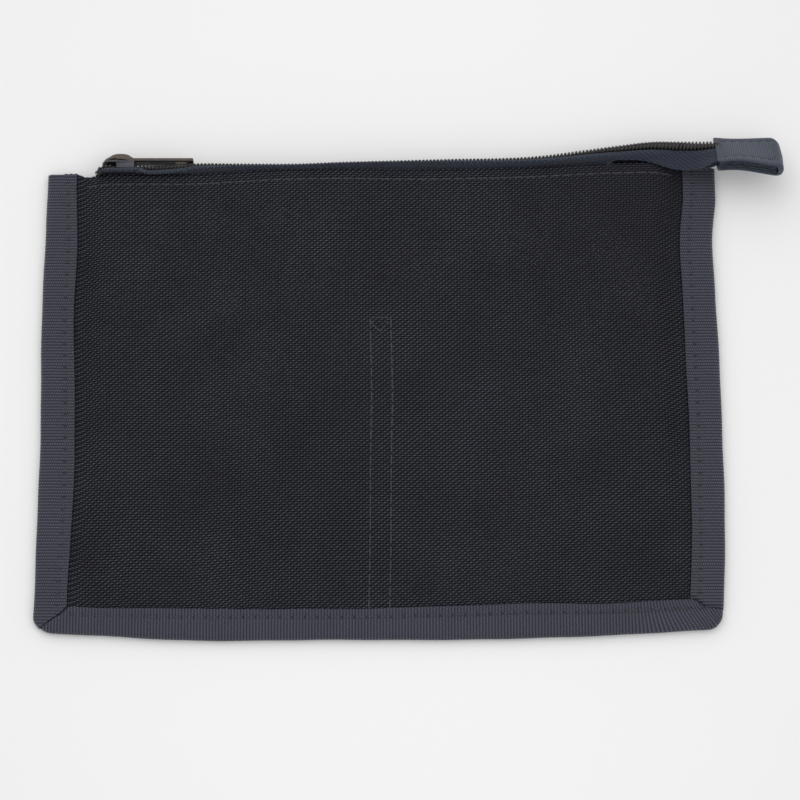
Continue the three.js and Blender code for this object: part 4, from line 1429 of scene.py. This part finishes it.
class POUCH_OT_slider(bpy.types.Operator):
    """Finish the slider, its crown and its pull with softened edges and dark metal"""

    bl_idname = "pouch.slider"
    bl_label = "Slider"

    def execute(self, context):
        settings = context.scene.pouch_zip
        for node, body, width, shape, cuts, colour, shade_below in (
            ("slider_body", "slider", 0.16, sunk, (), settings.body_colour, 0),
            ("slider_crown", "slider", 0.2, stretched, (), settings.metal_colour, 0),
            # The pull's underside, below PULL_UNDERSIDE, is painted in shade
            ("pull_tab", "pull", 0.12, cranked, CRANK_X, settings.metal_colour, PULL_UNDERSIDE),
        ):
            material = metal_material(f"Dark metal {node}", colour, shade_below)
            piece = softened_copy(node, f"{node}_metal", width, shape, cuts)
            finish_piece(piece, material, body, [node])
        return {"FINISHED"}


# End tab


def tab_place(x, out, across):
    """A point of the end tab, whose roll is that of the zip's end; it grows thicker and lower to its fold."""
    share = np.clip((x - TAB_X) / TAB_LENGTH, 0, 1)
    lower = np.maximum(-out, 0) * (0.15 * share**2 + 0.09 * np.sin(np.pi * share))
    return zip_point(x, out - lower, across * mix(0.74, 0.92, share))


def round_off(radius, distance):
    """How far a quarter circle stands in from a corner's side, at a distance from the other side."""
    return radius - np.sqrt(np.maximum(radius**2 - np.maximum(radius - distance, 0) ** 2, 0))


def tab_piece():
    """The ribbon's loop: a front leaf, a round fold at its far end and a back leaf, one ribbon thick.

    The leaves are puffed between their edges, round off towards them as a quarter circle does, and are
    drawn in along the stitched box by a bell curve.
    """
    far = TAB_X + TAB_LENGTH - TAB_TURN
    leaf = np.linspace(TAB_X - 0.3, far, 34, endpoint=False)
    bend = np.linspace(np.pi / 2, -np.pi / 2, 13)
    out = np.linspace(TAB_HIGH, TAB_LOW, 30)[None, :]
    to_rim = np.minimum(TAB_HIGH - out, out - TAB_LOW)
    rim = np.clip(to_rim / 0.5, 0, 1)
    near_inset = round_off(1.5, to_rim) + 1.2 * (1 - np.exp((out - TAB_HIGH) / 2.2))
    far_inset = round_off(2.4, TAB_HIGH - out) + round_off(0.9, out - TAB_LOW) + 0.5 * smooth((out + 4) / 6)

    def line(inset):
        half = TAB_HALF - inset
        x = np.concatenate([leaf, far + (TAB_TURN - inset) * np.cos(bend), leaf[::-1]])[:, None]
        side = np.full(len(leaf), half)
        across = np.concatenate([side, half * np.sin(bend), -side])[:, None]
        to_edge = np.minimum(np.minimum(x - TAB_X, TAB_X + TAB_LENGTH - x), to_rim)
        groove = 0.16 * np.exp(-(((to_edge - TAB_STITCH) / 0.45) ** 2))
        soft = 0.22 * (1 - np.sqrt(1 - (1 - rim) ** 2)) * (1 if inset == 0 else -0.4)
        squeezed = across * (1 - groove / TAB_HALF) - np.sign(across) * soft
        inset_x = near_inset * (1 - smooth((x - TAB_X) / 3)) - far_inset * smooth((x - far + 3) / 4.6)
        return tab_place(x + inset_x, out + 0 * x, squeezed)

    along = np.concatenate([leaf, far + TAB_TURN * (np.pi / 2 - bend), 2 * far + 5 - leaf[::-1]])[:, None]
    return slab("tail_end_tab_ribbon", line(0), line(TAB_THICKNESS), stack(along, out))


def tab_lining(label, side, layer):
    """One of the ribbon's turned-in ends: a leaf inside another, with a rounded, wavy lower edge."""
    x = np.linspace(TAB_X + 1.6, TAB_X + TAB_LENGTH - 2.0, 60)[:, None]
    share = np.sin(np.linspace(0, np.pi / 2, 12))[None, :]
    low = TAB_LOW + 0.12 * np.sin(x * 1.9 + side + layer) + 0.07 * np.sin(x * 4.7 + 2 * layer)
    out = mix(-3.4, low, share)
    half = 0.24 * np.sqrt(1 - np.clip((low + 0.35 - out) / 0.35, 0, 0.97) ** 2)
    middle = side * (1.13 - 0.66 * layer)
    outer, inner = tab_place(x, out, middle + side * half), tab_place(x, out, middle - side * half)
    return slab(f"tail_end_tab_lining_{label}_{layer}", outer, inner, stack(x, out))


class POUCH_OT_end_tab(bpy.types.Operator):
    """Fold the ribbon tab round the free end of the zip"""

    bl_idname = "pouch.end_tab"
    bl_label = "End tab"

    def execute(self, context):
        colour = context.scene.pouch_tape.tab_colour
        material = ribbed_material("Tab ribbon", colour, 0.5, 0.5, 0.00015, furrow_shade=0.6, sheen=0.3)
        finish_piece(tab_piece(), material, "tail", ["tail_end_tab"])
        # The linings are the same ribbon, painted darker as shade, since they lie inside the tab's loop
        darker = shade(colour, 0.8)
        lining = ribbed_material("Tab lining", darker, 0.6, 0.5, 0.00015, furrow_shade=0.7, sheen=0.2)
        for label, side in SIDES.items():
            for layer in (0, 1):
                finish_piece(tab_lining(label, side, layer), lining, "tail", ["tail_end_tab"])
        return {"FINISHED"}


# Stitching


def stitch_run(name, starts, ends, up, width):
    """Stitches from arrays of start and end points, and their upward normal.

    Each is a flattened thread whose middle lies on the cloth and whose ends dive into the needle holes: its
    thickness falls off as the fourth power of the way from its middle, and it sinks as the square.
    """
    samples = 9
    along = np.linspace(-1, 1, samples)[None, :, None, None]
    ring = RING[None, None, :, None]
    middle = ((starts + ends) / 2)[:, None, None]
    half = ((ends - starts) / 2)[:, None, None]
    side = np.cross(half, up)
    side = side / np.linalg.norm(side, axis=-1, keepdims=True)
    radius = np.sqrt(np.maximum(1 - np.abs(along) ** 4, 0.02)) * width / 2
    across = radius * np.cos(ring) * side
    points = middle + half * along + across + STITCH_FLATNESS * radius * np.sin(ring) * up
    points = points - up * along**2 * width * STITCH_SINK
    rods = np.arange(len(starts)) * samples * len(RING)
    faces = (rod_faces(samples)[None] + rods[:, None, None]).reshape(-1, 4)
    length = np.linalg.norm(half, axis=-1)
    pattern = stack(along[..., 0] * length, ring[..., 0] * width / 2).reshape(-1, 2)
    return turn_outwards(make_piece(name, points.reshape(-1, 3), faces, pattern))


def stitches_on(line, low, high, length):
    """Start and end points of equal stitches along line(t), with a small gap at each needle hole."""
    count = max(1, round((high - low) / length))
    holes = np.linspace(low, high, count + 1)
    inset = STITCH_GAP * (high - low) / count / 2
    return line(holes[:-1] + inset), line(holes[1:] - inset)


class POUCH_OT_stitching(bpy.types.Operator):
    """Sew the hems, the binding, the divider and the end tab"""

    bl_idname = "pouch.stitching"
    bl_label = "Stitching"

    def execute(self, context):
        settings = context.scene.pouch_stitch
        self.length, self.width = settings.length / MM, settings.width / MM
        self.material = thread_material("Sewing thread", settings.colour)
        self.sew_front_hem()
        self.sew_divider()
        self.sew_bartack()
        self.sew_back_hem()
        self.sew_binding()
        self.sew_tab()
        return {"FINISHED"}

    def sew(self, name, starts, ends, body, nodes, up=(0.0, 0.0, 1.0)):
        piece = stitch_run(name, starts, ends, np.array(up), self.width)
        return finish_piece(piece, self.material, body, nodes)

    def on_front(self, x, y):
        """Points just above the front wall."""
        return settled(stack(x, y, front_z(x, y) + rumple(x, y) + STITCH_LIFT))

    def sew_front_hem(self):
        def line(x):
            return self.on_front(x, front_hem(x) - FRONT_HEM_STITCH)

        for zone, (low, high) in zone_stops(-HEM_STITCH_END, HEM_STITCH_END).items():
            starts, ends = stitches_on(line, low, high, self.length)
            piece = self.sew(f"front_hem_thread_{zone}", starts, ends, None, ["front_hem_stitching"])
            bend_front(piece)

    def sew_divider(self):
        for label, side in (("left", -1), ("right", 1)):
            x = DIVIDER_X + side * DIVIDER_HALF

            def line(y, x=x):
                return self.on_front(x + curve(DIVIDER_WANDER, y), y)

            starts, ends = stitches_on(line, bottom_inner(x) - 0.5, DIVIDER_TOP, self.length)
            piece = self.sew(f"divider_{label}_thread", starts, ends, None, [f"divider_{label}_stitching"])
            bend_front(piece)

    def sew_bartack(self):
        """A row across the top of the divider and a V of slanted stitches below it."""
        half, low = DIVIDER_HALF - 0.3, DIVIDER_TOP - BARTACK_HEIGHT
        xs = DIVIDER_X + half * np.array([-1, -0.5, 0, 0.5, 1, -1, -0.66, -0.33, 0, 0.33, 0.66, 1])
        ys = low + np.array([4, 4.1, 4, 4.1, 4, 3.0, 2.0, 1.1, 0, 1.1, 2.0, 3.0])
        points = self.on_front(xs, ys)
        first = np.array([0, 1, 2, 3, 5, 6, 7, 8, 9, 10])
        starts, ends = points[first], points[first + 1]
        inset = STITCH_GAP * (ends - starts)
        piece = self.sew("divider_bartack_thread", starts + inset, ends - inset, None, ["divider_bartack"])
        bend_front(piece)

    def sew_back_hem(self):
        def line(x):
            y = hem_edge(x) - BACK_HEM_STITCH
            return stack(x, y, back_z(x, y) + BACK_STITCH_LIFT)

        starts, ends = stitches_on(line, *BACK_HEM_SEWN, self.length)
        self.sew("back_hem_thread", starts, ends, "root", ["back_hem_stitching"])

    def sew_binding(self):
        """Stitches from one needle hole of the tape to the next."""
        top = BINDING_DEPTH - 0.12

        def bottom_line(hole):
            x = hole * STITCH_SPACING
            return settled(stack(x, bottom_edge(x) + BINDING_STITCH, top))

        def left_line(hole):
            return settled(stack(BINDING_STITCH - HALF_WIDTH, hole * STITCH_SPACING, top))

        def right_line(hole):
            return settled(stack(HALF_WIDTH - BINDING_STITCH, hole * STITCH_SPACING, top))

        reach = int((INNER_HALF + 1) / STITCH_SPACING)
        low = -int(-MITRE_CORNER / STITCH_SPACING)
        for edge, line, first, last in (
            ("bottom", bottom_line, -reach, reach),
            ("left", left_line, low, int(TOP / STITCH_SPACING)),
            ("right", right_line, low, int((TOP + RIGHT_CORNER_RAISE) / STITCH_SPACING)),
        ):
            starts, ends = stitches_on(line, first, last, 1)
            self.sew(f"{edge}_binding_thread", starts, ends, "root", [f"{edge}_binding_stitching"])

    def sew_tab(self):
        """A box of stitches on each leaf of the tab."""
        near, far = TAB_X + TAB_STITCH, TAB_X + TAB_LENGTH - 2.4
        low, high = TAB_LOW + TAB_STITCH, TAB_HIGH - TAB_STITCH
        corners = np.array([[near, low], [far, low], [far, high], [near, high], [near, low]])
        for label, side in SIDES.items():
            starts, ends = [], []
            for here, there in zip(corners[:-1], corners[1:]):
                count = max(2, round(np.linalg.norm(there - here) / 2.4))
                holes = mix(here, there, np.linspace(0, 1, count + 1)[:, None])
                inset = STITCH_GAP * (there - here) / count
                across = side * (TAB_HALF - 0.08)
                starts.append(tab_place(*(holes[:-1] + inset).T, across))
                ends.append(tab_place(*(holes[1:] - inset).T, across))
            up = (0, side * np.sin(TAIL_ROLL), side * np.cos(TAIL_ROLL))
            runs = np.concatenate(starts), np.concatenate(ends)
            self.sew(f"tab_{label}_thread", *runs, "tail", [f"tab_{label}_stitching"], up)


# Stage


def area_lamp(name, place, size, power):
    """A square soft lamp that looks at the pouch's middle."""
    lamp = bpy.data.lights.new(name, "AREA")
    lamp.shape = "SQUARE"
    lamp.size = size
    lamp.energy = power
    holder = bpy.data.objects.new(name, lamp)
    holder.location = place
    holder.rotation_euler = (-Vector(place)).to_track_quat("-Z", "Y").to_euler()
    bpy.context.scene.collection.objects.link(holder)


class POUCH_OT_stage(bpy.types.Operator):
    """Lay the pale floor, hang the soft lamps and place the camera"""

    bl_idname = "pouch.stage"
    bl_label = "Stage"

    def execute(self, context):
        settings = context.scene.pouch_stage
        self.lay_floor(settings)
        self.light_world()
        self.place_camera(settings)
        context.scene.view_settings.view_transform = "Standard"
        return {"FINISHED"}

    def lay_floor(self, settings):
        reach = np.linspace(-FLOOR_HALF, FLOOR_HALF, 9)
        x, y = np.meshgrid(reach, reach, indexing="ij")
        points = stack(x, y, FLOOR_Z).reshape(-1, 3)
        floor = make_piece("floor", points, grid_faces(9, 9)[:, ::-1])
        floor.data.materials.append(floor_material(settings.floor_colour))

    def light_world(self):
        world = bpy.data.worlds.new("Soft studio")
        world.use_nodes = True
        sky = world.node_tree.nodes["Background"]
        sky.inputs["Color"].default_value = (1, 1, 1, 1)
        sky.inputs["Strength"].default_value = SKY_STRENGTH
        bpy.context.scene.world = world
        area_lamp("Key lamp", *KEY_LAMP)
        area_lamp("Fill lamp", *FILL_LAMP)

    def place_camera(self, settings):
        camera = bpy.data.cameras.new("Camera")
        camera.lens = settings.camera_lens
        camera.sensor_width = 36
        camera.clip_start = 0.05
        holder = bpy.data.objects.new("Camera", camera)
        target = Vector(CAMERA_TARGET) * MM
        angle = settings.camera_elevation
        back = Vector((0, -np.cos(angle), np.sin(angle)))
        holder.location = target + back * settings.camera_distance
        holder.rotation_euler = (-back).to_track_quat("-Z", "Y").to_euler()
        bpy.context.scene.collection.objects.link(holder)
        bpy.context.scene.camera = holder


STEPS = (
    POUCH_OT_mesh_walls,
    POUCH_OT_binding,
    POUCH_OT_zip_tapes,
    POUCH_OT_coils,
    POUCH_OT_slider,
    POUCH_OT_end_tab,
    POUCH_OT_stitching,
    POUCH_OT_stage,
)


class POUCH_PT_sidebar(bpy.types.Panel):
    """Lists the pouch's sizes and the steps that build it"""

    bl_label = "Mesh zip pouch"
    bl_idname = "POUCH_PT_sidebar"
    bl_space_type = "VIEW_3D"
    bl_region_type = "UI"
    bl_category = "Pouch"

    def draw(self, context):
        for name, group in SETTINGS.items():
            box = self.layout.box()
            for prop in group.__annotations__:
                box.prop(getattr(context.scene, name), prop)
        for step in STEPS:
            self.layout.operator(step.bl_idname)


SETTINGS = {
    "pouch_cloth": ClothSettings,
    "pouch_tape": TapeSettings,
    "pouch_zip": ZipSettings,
    "pouch_stitch": StitchSettings,
    "pouch_stage": StageSettings,
}


def register():
    for group in SETTINGS.values():
        bpy.utils.register_class(group)
    for step in STEPS:
        bpy.utils.register_class(step)
    bpy.utils.register_class(POUCH_PT_sidebar)
    for name, group in SETTINGS.items():
        setattr(bpy.types.Scene, name, bpy.props.PointerProperty(type=group))


def unregister():
    for name in SETTINGS:
        delattr(bpy.types.Scene, name)
    bpy.utils.unregister_class(POUCH_PT_sidebar)
    for step in reversed(STEPS):
        bpy.utils.unregister_class(step)
    for group in SETTINGS.values():
        bpy.utils.unregister_class(group)


def main():
    register()
    for step in STEPS:
        group, action = step.bl_idname.split(".")
        getattr(getattr(bpy.ops, group), action)()


if __name__ == "__main__":
    main()
